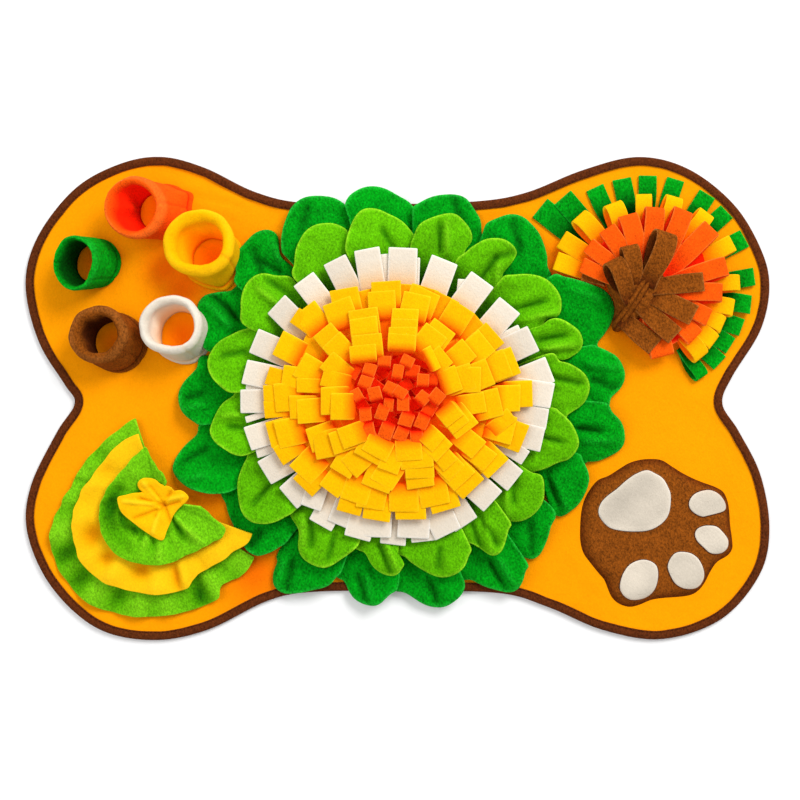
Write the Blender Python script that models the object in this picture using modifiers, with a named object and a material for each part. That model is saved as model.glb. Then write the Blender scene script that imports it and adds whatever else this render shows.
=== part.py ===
"""Snuffle mat: a bone-shaped fleece mat that hides dry treats for a dog to sniff out.

The bound mat carries a fringed flower with two rings of petals in the middle, and one toy in each lobe:
five treat cups, a fan of fringes and loops, three ruffles stacked under a bow, and a paw with its pads.
Metres, +Z up. The origin is under the middle of the mat, on the floor; +Y points to the top of the mat.
The tables below are in millimetres and degrees, measured from the middle of the mat.
"""

import math
import random
from collections import namedtuple

import bmesh
import bpy
from mathutils import Matrix, Vector

MM = 0.001
UP = Vector((0.0, 0.0, 1.0))

# ---------------------------------------------------------------- driving sizes, in millimetres

FLEECE = 2.5  # one layer of fleece: a petal, a ruffle or the bow
STRAND = 3.6  # a fringe strand is two layers of a thinner fleece
GAP = 0.3  # between pieces that touch
MAT_THICKNESS = 3.0
MAT_RIM = 9.0  # the edge of the mat that runs inside the binding
MAT_RIM_LIFT = 1.5  # the binding passes under that edge and lifts it off the floor
MAT_RIM_SLOPE = 6.0
BINDING_WIDTH = 9.0
BINDING_CLOTH = 1.2
SEAT = MAT_THICKNESS + GAP  # the lowest height of whatever is sewn on the mat

# The outer edge of the mat, clockwise from its left notch
BONE_OUTLINE = (
    (-322, -5), (-332, 14), (-358, 57), (-371, 113), (-359, 161), (-322, 209), (-277, 234),
    (-235, 241), (-192, 230), (-142, 206), (-92, 195), (0, 194), (82, 197), (130, 206),
    (185, 228), (240, 241), (290, 229), (335, 194), (362, 150), (371, 112), (362, 68),
    (334, 22), (324, -5), (340, -32), (362, -76), (371, -130), (361, -176), (323, -220),
    (264, -240), (205, -231), (150, -208), (100, -194), (0, -192), (-85, -193), (-130, -202),
    (-190, -231), (-245, -241), (-300, -229), (-345, -188), (-369, -135), (-366, -88), (-340, -34),
)

# Rings of petals round the flower: each petal rises from its root to a crest and drops towards its tip,
# and one of its sides lies so much higher than its middle, over the next petal. A petal's row has the
# direction it points in, how far its tip reaches from the middle of the flower, half its width, how
# much its tip lifts, how much its edges curl up, and where its crease runs and how deep.
FLOWER = (0.5, 2.5)
PetalRing = namedtuple("PetalRing", "name root_radius crest_radius rise tip_drop lap petals")
Petal = namedtuple("Petal", "angle reach half_width lift curl crease_at crease")
LEAVES = PetalRing(
    name="leaf", root_radius=119, crest_radius=190, rise=9.0, tip_drop=8.0, lap=5.0,
    petals=(
        Petal(115, 213, 33, 0, 0.6, 0.0, 0.0), Petal(96, 209, 33, 0, 0.0, 0.0, 0.0),
        Petal(74, 204, 36, 0, 0.0, 0.0, 0.0), Petal(50, 209, 37, 11, 0.0, 0.0, 0.0),
        Petal(27, 228, 35, 19, 1.0, 0.1, 1.0), Petal(6, 225, 31, 0, 1.0, 0.3, 2.0),
        Petal(-11, 227, 30, 0, 1.0, 0.3, 3.0), Petal(-29, 206, 29, 0, 1.0, 0.2, 4.0),
        Petal(-46, 211, 27, 0, 0.5, 0.0, 1.0), Petal(-61, 225, 27, 0, 0.0, 0.4, 2.0),
        Petal(-79, 214, 30, 0, 0.0, 0.0, 0.0), Petal(-98, 208, 32, 0, 1.0, -0.4, 3.0),
        Petal(-118, 223, 33, 0, 0.5, -0.4, 3.0), Petal(-138, 210, 34, 5, 0.0, 0.0, 0.0),
        Petal(-160, 231, 35, 2, 1.0, 0.0, 0.0), Petal(179, 217, 32, 0, 1.0, -0.3, 2.5),
        Petal(161, 204, 31, 0, 1.0, 0.1, 5.0), Petal(136, 212, 34, 0, 1.0, -0.5, 4.0),
    ),
)
PETALS = PetalRing(
    name="petal", root_radius=103, crest_radius=160, rise=25.0, tip_drop=8.0, lap=5.0,
    petals=(
        Petal(117, 182, 33, 0, 1.5, -0.1, 1.0), Petal(96.5, 186, 31, 0, 1.5, 0.0, 1.5),
        Petal(74.5, 184, 31, 0, 1.5, 0.0, 2.0), Petal(53, 186, 28, 0, 1.5, -0.4, 4.0),
        Petal(36, 187, 25, 0, 1.5, 0.3, 2.0), Petal(18.5, 189, 25, 0, 1.5, 0.0, 3.0),
        Petal(2, 188, 26, 0, 1.5, 0.0, 1.0), Petal(-17, 183, 29, 0, 1.0, 0.0, 1.0),
        Petal(-38, 176, 28, 0, 1.5, 0.2, 2.0), Petal(-56, 182, 27, 0, 1.5, 0.0, 4.0),
        Petal(-76, 183, 29, 0, 1.5, 0.0, 1.0), Petal(-95, 174, 27, 0, 1.0, 0.1, 1.5),
        Petal(-114, 185, 32, 0, 1.5, 0.0, 1.0), Petal(-142.5, 182, 37, 0, 1.0, 0.0, 1.0),
        Petal(-169.5, 186, 34, 0, 1.5, 0.1, 3.0), Petal(168, 190, 34, 0, 1.5, 0.0, 1.0),
        Petal(144, 184, 36, 0, 1.5, 0.4, 3.0),
    ),
)
PETAL_SEGMENTS = 4
PETAL_WIDENING = (0.35, 1.4)  # of half its width, from root to tip, before its ends are rounded
CREASE_SPREAD = 0.3  # as a share of half the petal's width

# Fringes: strips with slits cut from one edge, sewn down along the other and wound round a centre.
# A strip starts in one direction and turns; each pair below is at its start and at its end. The
# strands rise to their height early, with a droop over 1, and lean out late, with a lean over 1.
# A strand with a loop height runs back above itself by that much. The backing is the uncut edge
# that joins the strands: how far it reaches inwards, lying flat, or down, standing on its edge.
# The strands differ a little in reach, height and twist.
STRAND_UNEVEN_REACH = 1.0
STRAND_UNEVEN_HEIGHT = 0.5
STRAND_TWIST = 0.4
Fringe = namedtuple(
    "Fringe", "name centre start turn count root tip widths height lean droop levels loop backing seed"
)
FAN = (245.0, 106.0)
FRINGES = {
    "white": Fringe("fringe_white", FLOWER, 98, 347, 28, (90, 90), (145, 145), (16, 26),
                    (38, 38), 1.5, 2.2, (0.35, 0.7, 1.0), 0, (7, 0), 3),
    "yellow": Fringe("fringe_yellow", FLOWER, 90, 1080, 62, (36, 79), (60, 119), (13, 21.5),
                     (54, 47), 2.1, 2.8, (0.55, 1.0), 0, (7, 0), 5),
    "centre": Fringe("fringe_centre", FLOWER, 20, 1000, 36, (9, 27), (17, 40), (5, 10),
                     (49, 48), 2.5, 1.2, (0.7, 1.0), 0, (0, 6), 7),
    "fan_green": Fringe("fan_green", FAN, 141, -196, 15, (70, 70), (119, 103), (13, 18),
                        (0.5, 2.5), 1.0, 1.5, (0.5, 1.0), 0, (7, 0), 11),
    "fan_yellow": Fringe("fan_yellow", FAN, 161, -211, 13, (51, 49), (93, 87), (12, 18),
                         (8, 9), 1.3, 2.2, (0.3, 1.0), 4.5, (7, 0), 13),
    "fan_orange": Fringe("fan_orange", FAN, 155, -234, 12, (32, 30), (74, 66), (9, 17),
                         (16, 20), 1.3, 2.2, (0.3, 1.0), 4.5, (7, 0), 17),
    "fan_brown": Fringe("fan_brown", FAN, 146, -221, 8, (13, 13), (46, 59), (5, 20),
                        (27, 31), 1.3, 2.2, (0.3, 0.6, 1.0), 6.0, (7, 0), 19),
}

# Treat cups: tubes with a rolled rim, open above and below, so that the mat is their bottom. Each
# leans so far in x and y from its base to its rim, which tilts by so many degrees towards a direction.
Cup = namedtuple("Cup", "name base base_radius lean rim_size height wall roll tilt towards")
CUPS = {
    "orange": Cup("cup_orange", (-234, 188), 29, (-22, -2), (30, 31), 36, 6, 1.5, 24, 183),
    "green": Cup("cup_green", (-301, 135), 27, (-13, -2), (26, 28), 37, 5, 0.0, 26, 186),
    "yellow": Cup("cup_yellow", (-192, 144), 30, (-2, 5), (34, 33), 38, 7, 2.5, 8, 120),
    "brown": Cup("cup_brown", (-287, 58), 29, (-5, 4), (30, 27), 36, 7, 1.5, 12, 150),
    "white": Cup("cup_white", (-222, 66), 27, (0, 3), (29, 30), 38, 6.5, 2.5, 6, 90),
}
CUP_SEGMENTS = 20
# The section of a cup's wall, from its outer foot over the rim to its inner foot: how deep in the wall
# a point lies, how much of the roll stands out there, and at which share of the height
WallPoint = namedtuple("WallPoint", "depth bulge share")
CUP_WALL = (
    WallPoint(0.08, 0.0, 0.0), WallPoint(0.0, 0.0, 0.45), WallPoint(0.0, 0.0, 0.8),
    WallPoint(0.0, 0.5, 0.92), WallPoint(0.5, 0.0, 1.0), WallPoint(1.0, -0.5, 0.92),
    WallPoint(1.0, 0.0, 0.78), WallPoint(0.92, 0.0, 0.0),
)

# Ruffles: half-round sheets gathered at one point and stacked. The first pair is the height where
# they are gathered and what they rise to at the edge; their waves add to it.
GATHER = (-234.5, -101.5)
GATHER_RADIUS = 14.0
RUFFLE_ROWS = 3
Ruffle = namedtuple("Ruffle", "name heights wave waves columns reach")
RUFFLES = {
    "lower": Ruffle("ruffle_lower", (0.0, 2.5), 4.0, 7, 34, (
        (108, 86), (148, 86), (168, 95), (183, 107), (197, 117), (212, 123), (226, 126),
        (240, 124), (254, 121), (268, 117), (298, 113), (304, 107), (329, 108))),
    "middle": Ruffle("ruffle_middle", (3.0, 13.0), 5.0, 6, 30, (
        (108, 69), (129, 68), (152, 72), (177, 83), (195, 94), (215, 104), (233, 104),
        (250, 99), (271, 94), (287, 92), (317, 85), (340, 95))),
    "upper": Ruffle("ruffle_upper", (6.0, 20.0), 4.0, 5, 26, (
        (104, 56), (137, 52), (168, 62), (190, 68), (214, 71), (237, 69), (259, 66),
        (281, 62), (308, 61), (334, 67), (350, 54))),
}
BOW_OUTLINE = (
    (0, 30), (28, 20), (43, 16), (60, 22), (80, 25), (100, 22), (118, 27), (138, 27), (152, 20),
    (175, 40), (202, 39), (240, 34), (275, 40), (306, 25), (330, 22), (360, 30),
)
BOW_HEIGHT = 9.2  # of its underside over the mat's top, where it is gathered
BOW_SLOPE = 0.42
BOW_CREASES = 9
BOW_CREASE_HEIGHT = 1.2
BOW_SEGMENTS = 36
BOW_RINGS = (0.35, 0.35)  # the width of each ring of faces, as a share of the reach

# The paw: a flat padded shape with a toe pad in each of its lobes and one large pad
PAW_OUTLINE = (
    (252, -60), (270, -66), (302, -82), (318, -87), (330, -99), (333, -118), (336, -140),
    (333, -154), (318, -166), (311, -181), (296, -197), (262, -203), (232, -208), (216, -203),
    (206, -178), (186, -149), (179, -126), (180, -106), (190, -91), (217, -76),
)
PAW_SIDE = 3.0  # the upright side of the paw, under its rounded edge
PAW_ROUNDING = ((1.2, 1.8), (2.3, 1.2))  # each step inwards and up
PALM_OUTLINE = (
    (249, -72), (262, -79), (271, -92), (273, -105), (270, -118), (260, -128), (242, -133),
    (222, -132), (208, -126), (202, -113), (204, -104), (217, -93), (232, -79),
)
Toe = namedtuple("Toe", "centre half_length half_width direction")
TOES = (
    Toe((309.0, -104.5), 18.0, 13.0, 0.0),
    Toe((314.0, -141.5), 16.5, 13.5, -20.0),
    Toe((288.0, -172.5), 19.0, 18.0, 90.0),
    Toe((241.5, -181.5), 21.0, 18.5, 110.0),
)
TOE_SEGMENTS = 20
PAD_SIDE = 1.2
PAD_ROUNDING = ((0.6, 0.5),)


# ---------------------------------------------------------------- helpers


def point_mm(x, y, z=0.0):
    """A point given in millimetres, in metres."""
    return Vector((x, y, z)) * MM


def polar_mm(angle, radius, z=0.0):
    """A point given by its direction (radians), distance and height in millimetres, in metres."""
    return point_mm(radius * math.cos(angle), radius * math.sin(angle), z)


def between(pair, share):
    """The value a share of the way from the first of a pair to the second."""
    return pair[0] + (pair[1] - pair[0]) * share


def table_value(table, key):
    """Reads a table of (key, value) rows between its rows, smoothly."""
    for (low, value), (high, next_value) in zip(table, table[1:]):
        if key <= high:
            share = max(0.0, (key - low) / (high - low))
            return value + (next_value - value) * share * share * (3 - 2 * share)
    return table[-1][1]


def smooth_loop(points, steps=2):
    """Samples of a smooth closed curve through the points (Catmull-Rom)."""
    samples = []
    for i in range(len(points)):
        before, start, end, after = (points[(i + k) % len(points)] for k in (-1, 0, 1, 2))
        for step in range(steps):
            t = step / steps
            bend = (2 * before - 5 * start + 4 * end - after) * t ** 2
            twist = (3 * start - before - 3 * end + after) * t ** 3
            samples.append(0.5 * (2 * start + (end - before) * t + bend + twist))
    return samples


def linear_colour(red, green, blue):
    """A screen colour, 0 to 255, as the linear colour that a material takes."""
    screen = [channel / 255 for channel in (red, green, blue)]
    return [c / 12.92 if c <= 0.04045 else ((c + 0.055) / 1.055) ** 2.4 for c in screen] + [1.0]


def fleece(name, red, green, blue):
    """A matte brushed cloth."""
    material = bpy.data.materials.new(name)
    material.use_nodes = True
    shader = material.node_tree.nodes["Principled BSDF"]
    shader.inputs["Base Color"].default_value = linear_colour(red, green, blue)
    shader.inputs["Roughness"].default_value = 0.95
    shader.inputs["Metallic"].default_value = 0.0
    material.diffuse_color = linear_colour(red, green, blue)
    return material


def add_solid(name, bm, material, place=(0.0, 0.0), turn=0.0, height=0.0):
    """Turns a mesh into one sub-part, placed on the mat and turned by so many degrees."""
    bmesh.ops.recalc_face_normals(bm, faces=bm.faces)
    mesh = bpy.data.meshes.new(name)
    bm.to_mesh(mesh)
    bm.free()
    mesh.materials.append(material)
    mesh.shade_smooth()
    mesh.set_sharp_from_angle(angle=math.radians(40))
    solid = bpy.data.objects.new(name, mesh)
    solid.location = point_mm(*place, height)
    solid.rotation_euler.z = math.radians(turn)
    collection.objects.link(solid)
    return solid


def thicken(sheet, thickness, even=False):
    """Gives an open surface half its thickness on each side, evenly where it folds sharply."""
    solidify = sheet.modifiers.new("thickness", "SOLIDIFY")
    solidify.thickness = thickness * MM
    solidify.offset = 0.0
    solidify.use_even_offset = even
    solidify.use_quality_normals = even


def outline_face(bm, points):
    """One flat face inside a closed outline, facing up."""
    face = bm.faces.new([bm.verts.new(point) for point in points])
    face.normal_update()
    if face.normal.z < 0:
        face.normal_flip()
    return face


def trim_face(bm, face, width):
    """Cuts a strip of this width off all round a face."""
    inset_face(bm, face, width)
    bmesh.ops.delete(bm, geom=[ring for ring in bm.faces if ring != face], context="FACES")


def inset_face(bm, face, width, rise=0.0):
    """Moves a face's outline inwards, and up by the rise, and leaves a ring of faces round it."""
    bmesh.ops.inset_region(bm, faces=[face], thickness=width * MM, depth=rise * MM,
                           use_boundary=True, use_even_offset=True)


# ---------------------------------------------------------------- the mat and its binding


def build_mat(outline, material):
    """The bone-shaped mat: flat on the floor, with its edge lifted into the binding."""
    bm = bmesh.new()
    edge_height = (MAT_RIM_LIFT + MAT_THICKNESS / 2) * MM
    face = outline_face(bm, [point + UP * edge_height for point in outline])
    trim_face(bm, face, BINDING_CLOTH + 2 * GAP)
    inset_face(bm, face, MAT_RIM)
    inset_face(bm, face, MAT_RIM_SLOPE, -MAT_RIM_LIFT)
    thicken(add_solid("mat", bm, material), MAT_THICKNESS)


def build_binding(outline, material):
    """The tape folded over the edge of the mat: its upper half, mirrored below."""
    inside = MAT_THICKNESS + 2 * GAP
    half_height = (inside + BINDING_CLOTH) / 2
    bm = bmesh.new()
    face = outline_face(bm, [point + UP * half_height * MM for point in outline])
    trim_face(bm, face, BINDING_CLOTH / 2)
    lowered = bmesh.ops.extrude_edge_only(bm, edges=face.edges)["geom"]
    for vert in (item for item in lowered if isinstance(item, bmesh.types.BMVert)):
        vert.co.z = 0.0
    inset_face(bm, face, BINDING_WIDTH - BINDING_CLOTH / 2)
    bmesh.ops.delete(bm, geom=[face], context="FACES")
    binding = add_solid("binding", bm, material, height=BINDING_CLOTH + inside / 2)
    mirror = binding.modifiers.new("lower half", "MIRROR")
    mirror.use_axis = (False, False, True)
    mirror.merge_threshold = 0.0001
    thicken(binding, BINDING_CLOTH, even=True)


# ---------------------------------------------------------------- petals


def petal_point(ring, petal, x, y):
    """Moves a point of a flat square, -1 to 1 each way, to its place on a petal along +X."""
    along = (1 + x * math.sqrt(1 - y * y / 2)) / 2
    across = y * math.sqrt(1 - x * x / 2)
    radius = between((ring.root_radius, petal.reach), along)
    sideways = petal.half_width * across * between(PETAL_WIDENING, along)
    height = SEAT + FLEECE / 2 + GAP
    climb = (radius - ring.root_radius) / (ring.crest_radius - ring.root_radius)
    height += ring.rise * math.sin(math.pi / 2 * min(1.0, climb))
    height += petal.lift * along ** 3 - ring.tip_drop * max(0.0, climb - 1) ** 2
    height += climb * (ring.lap * across + petal.curl * across ** 2)
    height -= climb * petal.crease * math.exp(-((across - petal.crease_at) / CREASE_SPREAD) ** 2)
    return point_mm(radius, sideways, height)


def build_petals(ring, material):
    """A ring of cupped petals, each lapping over the next one clockwise."""
    for number, petal in enumerate(ring.petals, 1):
        bm = bmesh.new()
        bmesh.ops.create_grid(bm, x_segments=PETAL_SEGMENTS, y_segments=PETAL_SEGMENTS, size=1.0)
        for vert in bm.verts:
            vert.co = petal_point(ring, petal, vert.co.x, vert.co.y)
        name = f"{ring.name}_{number:02d}"
        thicken(add_solid(name, bm, material, FLOWER, petal.angle), FLEECE)


# ---------------------------------------------------------------- fringes


def strand_angles(fringe):
    """The strands' directions, spread so that each has the same room at its tip."""
    turn = math.radians(fringe.turn)
    tips = [between(fringe.tip, (i + 0.5) / (fringe.count - 1)) for i in range(fringe.count - 1)]
    room = sum(1 / tip for tip in tips)
    angles = [math.radians(fringe.start)]
    for tip in tips:
        angles.append(angles[-1] + turn / tip / room)
    return angles


def strand_point(fringe, strand, level, back, side):
    """A point on one edge of a strand, a level from 0 at its root to 1 at its tip."""
    angle, root, tip, height, twist = strand
    reach = level ** fringe.lean
    rise = height * (1 - (1 - level) ** fringe.droop) + (fringe.loop if back else 0.0)
    sideways = polar_mm(angle + math.pi / 2, side * between(fringe.widths, reach) / 2)
    height = SEAT + STRAND / 2 + GAP + fringe.backing[1] + rise + side * twist * level
    return polar_mm(angle, between((root, tip), reach), height) + sideways


def build_fringe(fringe, material):
    """The strands stand apart, but for their roots, which one narrow backing joins."""
    chance = random.Random(fringe.seed)
    strands = []
    for i, angle in enumerate(strand_angles(fringe)):
        share = i / (fringe.count - 1)
        tip = between(fringe.tip, share) + chance.uniform(-1, 1) * STRAND_UNEVEN_REACH
        height = between(fringe.height, share) + chance.uniform(-1, 1) * STRAND_UNEVEN_HEIGHT
        twist = chance.uniform(-1, 1) * STRAND_TWIST
        strands.append((angle, between(fringe.root, share), tip, height, twist))
    path = [(level, False) for level in (0.0, *fringe.levels)]
    if fringe.loop:
        path += [(level, True) for level in reversed(fringe.levels)]
    columns, rows = 2 * fringe.count - 1, len(path)
    bm = bmesh.new()
    bmesh.ops.create_grid(bm, x_segments=columns, y_segments=rows, size=1.0)
    cells = {vert: (round((vert.co.x + 1) / 2 * columns), round((vert.co.y + 1) / 2 * rows))
             for vert in bm.verts}
    slits = [face for face in bm.faces
             if min(cells[vert][0] for vert in face.verts) % 2
             and min(cells[vert][1] for vert in face.verts) > 0]
    turning = math.copysign(1.0, fringe.turn)
    for vert, (column, row) in cells.items():
        strand = strands[column // 2]
        side = turning * (1 if column % 2 else -1)
        level, back = path[max(0, row - 1)]
        vert.co = strand_point(fringe, strand, level, back, side)
        if row == 0:
            inwards, down = fringe.backing
            vert.co.xy *= 1 - inwards / strand[1]
            vert.co.z -= (down + STRAND / 2) * MM if down else 0.0
    bmesh.ops.delete(bm, geom=slits, context="FACES")
    thicken(add_solid(fringe.name, bm, material, fringe.centre), STRAND)


# ---------------------------------------------------------------- treat cups


def build_cup(cup, material):
    """Spins the section of the wall at the base's size, then leans and widens it to the rim."""
    bm = bmesh.new()
    verts = []
    for point in CUP_WALL:
        radius = cup.base_radius + point.bulge * cup.roll - point.depth * cup.wall
        verts.append(bm.verts.new((radius, 0.0, point.share)))
    edges = [bm.edges.new((verts[k - 1], verts[k])) for k in range(len(verts))]
    bmesh.ops.spin(bm, geom=verts + edges, cent=(0, 0, 0), axis=UP, angle=2 * math.pi,
                   steps=CUP_SEGMENTS, use_merge=True, use_duplicate=False)
    towards = math.radians(cup.towards)
    tilt_axis = Vector((-math.sin(towards), math.cos(towards), 0.0))
    for vert in bm.verts:
        share = vert.co.z
        angle = math.atan2(vert.co.y, vert.co.x)
        out = math.hypot(vert.co.x, vert.co.y) - cup.base_radius
        arm = Vector((
            (between((cup.base_radius, cup.rim_size[0]), share) + out) * math.cos(angle),
            (between((cup.base_radius, cup.rim_size[1]), share) + out) * math.sin(angle),
            0.0,
        ))
        arm.rotate(Matrix.Rotation(math.radians(cup.tilt) * share, 3, tilt_axis))
        centre = Vector((cup.lean[0] * share, cup.lean[1] * share, cup.height * share))
        vert.co = (centre + arm) * MM
    add_solid(cup.name, bm, material, cup.base, height=SEAT)


# ---------------------------------------------------------------- ruffles and bow


def build_ruffle(ruffle, material):
    """A wavy half-round sheet, gathered at its middle."""
    ends = ruffle.reach[0][0], ruffle.reach[-1][0]
    usual_reach = sum(reach for _, reach in ruffle.reach) / len(ruffle.reach)
    bm = bmesh.new()
    bmesh.ops.create_grid(bm, x_segments=ruffle.columns, y_segments=RUFFLE_ROWS, size=1.0)
    for vert in bm.verts:
        share, along = (vert.co.x + 1) / 2, (vert.co.y + 1) / 2
        degrees = between(ends, share)
        radius = between((GATHER_RADIUS, table_value(ruffle.reach, degrees)), along)
        climb = (radius - GATHER_RADIUS) / (usual_reach - GATHER_RADIUS)
        wave = ruffle.wave * (1 + math.cos(2 * math.pi * ruffle.waves * share)) / 2
        height = SEAT + FLEECE / 2 + GAP + ruffle.heights[0]
        height += (ruffle.heights[1] - ruffle.heights[0] + wave) * climb
        vert.co = polar_mm(math.radians(degrees), radius, height)
    thicken(add_solid(ruffle.name, bm, material, GATHER), FLEECE)


def build_bow(material):
    """A scalloped sheet, creased out from where it is gathered."""
    bm = bmesh.new()
    bmesh.ops.create_circle(bm, segments=BOW_SEGMENTS, radius=1.0, cap_ends=True)
    face = bm.faces[:][0]
    for width in BOW_RINGS:
        bmesh.ops.inset_region(bm, faces=[face], thickness=width, use_boundary=True,
                               use_even_offset=True)
    bmesh.ops.poke(bm, faces=[face])
    for vert in bm.verts:
        share = math.hypot(vert.co.x, vert.co.y)
        angle = math.atan2(vert.co.y, vert.co.x) % (2 * math.pi)
        radius = share * table_value(BOW_OUTLINE, math.degrees(angle))
        height = SEAT + BOW_HEIGHT + FLEECE / 2
        height += BOW_SLOPE * max(0.0, radius - GATHER_RADIUS)
        height += BOW_CREASE_HEIGHT * share * (1 + math.cos(BOW_CREASES * angle))
        vert.co = polar_mm(angle, radius, height)
    thicken(add_solid("bow", bm, material, GATHER), FLEECE)


# ---------------------------------------------------------------- paw


def build_pad(name, points, side, rounding, material, height, place=(0.0, 0.0), turn=0.0):
    """A flat pad with an upright side and a rounded upper edge."""
    bm = bmesh.new()
    base = outline_face(bm, points)
    lifted = bmesh.ops.extrude_face_region(bm, geom=[base], use_keep_orig=True)["geom"]
    for vert in (item for item in lifted if isinstance(item, bmesh.types.BMVert)):
        vert.co.z += side * MM
    top = next(item for item in lifted if isinstance(item, bmesh.types.BMFace))
    for width, rise in rounding:
        inset_face(bm, top, width, rise)
    add_solid(name, bm, material, place, turn, height)


def build_paw(paw_material, pad_material):
    """The paw, and its pads lying on its flat top."""
    paw_points = smooth_loop([point_mm(*point) for point in PAW_OUTLINE])
    build_pad("paw", paw_points, PAW_SIDE, PAW_ROUNDING, paw_material, SEAT)
    top = SEAT + PAW_SIDE + sum(rise for _, rise in PAW_ROUNDING) + GAP
    palm_points = smooth_loop([point_mm(*point) for point in PALM_OUTLINE])
    build_pad("pad_palm", palm_points, PAD_SIDE, PAD_ROUNDING, pad_material, top)
    for number, toe in enumerate(TOES, 1):
        angles = [2 * math.pi * step / TOE_SEGMENTS for step in range(TOE_SEGMENTS)]
        points = [point_mm(toe.half_length * math.cos(angle), toe.half_width * math.sin(angle))
                  for angle in angles]
        build_pad(f"pad_toe_{number}", points, PAD_SIDE, PAD_ROUNDING, pad_material, top,
                  toe.centre, toe.direction)


# ---------------------------------------------------------------- build

for existing in list(bpy.data.objects):
    bpy.data.objects.remove(existing)
collection = bpy.data.collections.new("snuffle_mat")
bpy.context.scene.collection.children.link(collection)

mat_fleece = fleece("mat_fleece", 254, 165, 6)
binding_cloth = fleece("binding_cloth", 100, 44, 18)
leaf_green = fleece("leaf_green", 8, 150, 28)
petal_green = fleece("petal_green", 104, 188, 16)
white_fleece = fleece("white_fleece", 240, 234, 222)
yellow_fleece = fleece("yellow_fleece", 252, 196, 8)
orange_fleece = fleece("orange_fleece", 244, 84, 12)
brown_fleece = fleece("brown_fleece", 146, 74, 14)

bone = smooth_loop([point_mm(*point) for point in BONE_OUTLINE])
build_mat(bone, mat_fleece)
build_binding(bone, binding_cloth)

build_petals(LEAVES, leaf_green)
build_petals(PETALS, petal_green)
build_fringe(FRINGES["white"], white_fleece)
build_fringe(FRINGES["yellow"], yellow_fleece)
build_fringe(FRINGES["centre"], orange_fleece)

build_fringe(FRINGES["fan_green"], leaf_green)
build_fringe(FRINGES["fan_yellow"], yellow_fleece)
build_fringe(FRINGES["fan_orange"], orange_fleece)
build_fringe(FRINGES["fan_brown"], brown_fleece)

build_cup(CUPS["orange"], orange_fleece)
build_cup(CUPS["green"], leaf_green)
build_cup(CUPS["yellow"], yellow_fleece)
build_cup(CUPS["brown"], brown_fleece)
build_cup(CUPS["white"], white_fleece)

build_ruffle(RUFFLES["lower"], petal_green)
build_ruffle(RUFFLES["middle"], yellow_fleece)
build_ruffle(RUFFLES["upper"], petal_green)
build_bow(yellow_fleece)

build_paw(brown_fleece, white_fleece)
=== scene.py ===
import math
import random

import bmesh
import bpy
from mathutils import Matrix, Vector, noise


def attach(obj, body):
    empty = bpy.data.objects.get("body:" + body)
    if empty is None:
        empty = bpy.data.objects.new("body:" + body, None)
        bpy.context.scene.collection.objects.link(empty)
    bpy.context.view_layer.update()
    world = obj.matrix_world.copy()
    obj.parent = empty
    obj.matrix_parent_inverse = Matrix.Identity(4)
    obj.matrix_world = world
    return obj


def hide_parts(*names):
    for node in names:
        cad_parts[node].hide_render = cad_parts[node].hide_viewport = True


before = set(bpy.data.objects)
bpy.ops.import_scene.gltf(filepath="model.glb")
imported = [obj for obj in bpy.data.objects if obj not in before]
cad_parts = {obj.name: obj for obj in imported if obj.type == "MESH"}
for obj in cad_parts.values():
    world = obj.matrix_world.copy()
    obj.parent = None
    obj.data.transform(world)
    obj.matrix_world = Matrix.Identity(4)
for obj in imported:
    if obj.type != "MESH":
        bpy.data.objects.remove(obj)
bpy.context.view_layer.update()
print("frame:", len(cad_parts), "nodes")

mm = 0.001
seat = 3.3  # mm: the mat's top, and the hair of air over it; all the sizes below are in mm
flower = Vector((0.5, 2.5, 0.0))
up = Vector((0.0, 0.0, 1.0))


# numbers and curves

def mix(a, b, share):
    return a + (b - a) * share


def ease(low, high, x):
    share = min(1.0, max(0.0, (x - low) / (high - low)))
    return share * share * (3 - 2 * share)


def bell(distance, width):
    return math.exp(-(distance / width) ** 2)


def polar(degrees, radius, height=0.0):
    angle = math.radians(degrees)
    return Vector((radius * math.cos(angle), radius * math.sin(angle), height))


def readTable(table, key):
    for (low, value), (high, nextValue) in zip(table, table[1:]):
        if key <= high:
            return mix(value, nextValue, ease(low, high, key))
    return table[-1][1]


def lumps(point, size, seed=0.0):
    return noise.noise(Vector((point.x / size + seed, point.y / size - seed, point.z / size)))


def smoothLoop(points, steps):
    # a smooth closed curve through the points
    samples = []
    points = [Vector((*point, 0.0)) for point in points]
    for i in range(len(points)):
        before, start, end, after = (points[(i + k) % len(points)] for k in (-1, 0, 1, 2))
        for step in range(steps):
            t = step / steps
            bend = (2 * before - 5 * start + 4 * end - after) * t ** 2
            twist = (3 * start - before - 3 * end + after) * t ** 3
            samples.append(0.5 * (2 * start + (end - before) * t + bend + twist))
    return samples


def inwards(loop):
    # the direction into a closed loop at each of its points
    area = sum(a.x * b.y - b.x * a.y for a, b in zip(loop, loop[1:] + loop[:1]))
    turn = math.copysign(1.0, area)
    arrows = []
    for i in range(len(loop)):
        run = (loop[(i + 1) % len(loop)] - loop[i - 1]).normalized()
        arrows.append(Vector((-run.y, run.x, 0.0)) * turn)
    return arrows


def toEdge(point, loop):
    # how far a point is from a loop
    nearest = 1e9
    for a, b in zip(loop, loop[1:] + loop[:1]):
        side = b - a
        share = min(1.0, max(0.0, (point - a).dot(side) / side.length_squared))
        nearest = min(nearest, (point - a - side * share).length)
    return nearest


def turnBetween(a, b):
    return math.remainder(a - b, 360)


def fromLine(point, start, end):
    # how far a point is from a line between two places
    start, end = Vector((*start, 0.0)), Vector((*end, 0.0))
    run = end - start
    flat = Vector((point.x, point.y, 0.0))
    share = min(1.0, max(0.0, (flat - start).dot(run) / run.length_squared))
    return (flat - start - run * share).length


# materials

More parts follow.
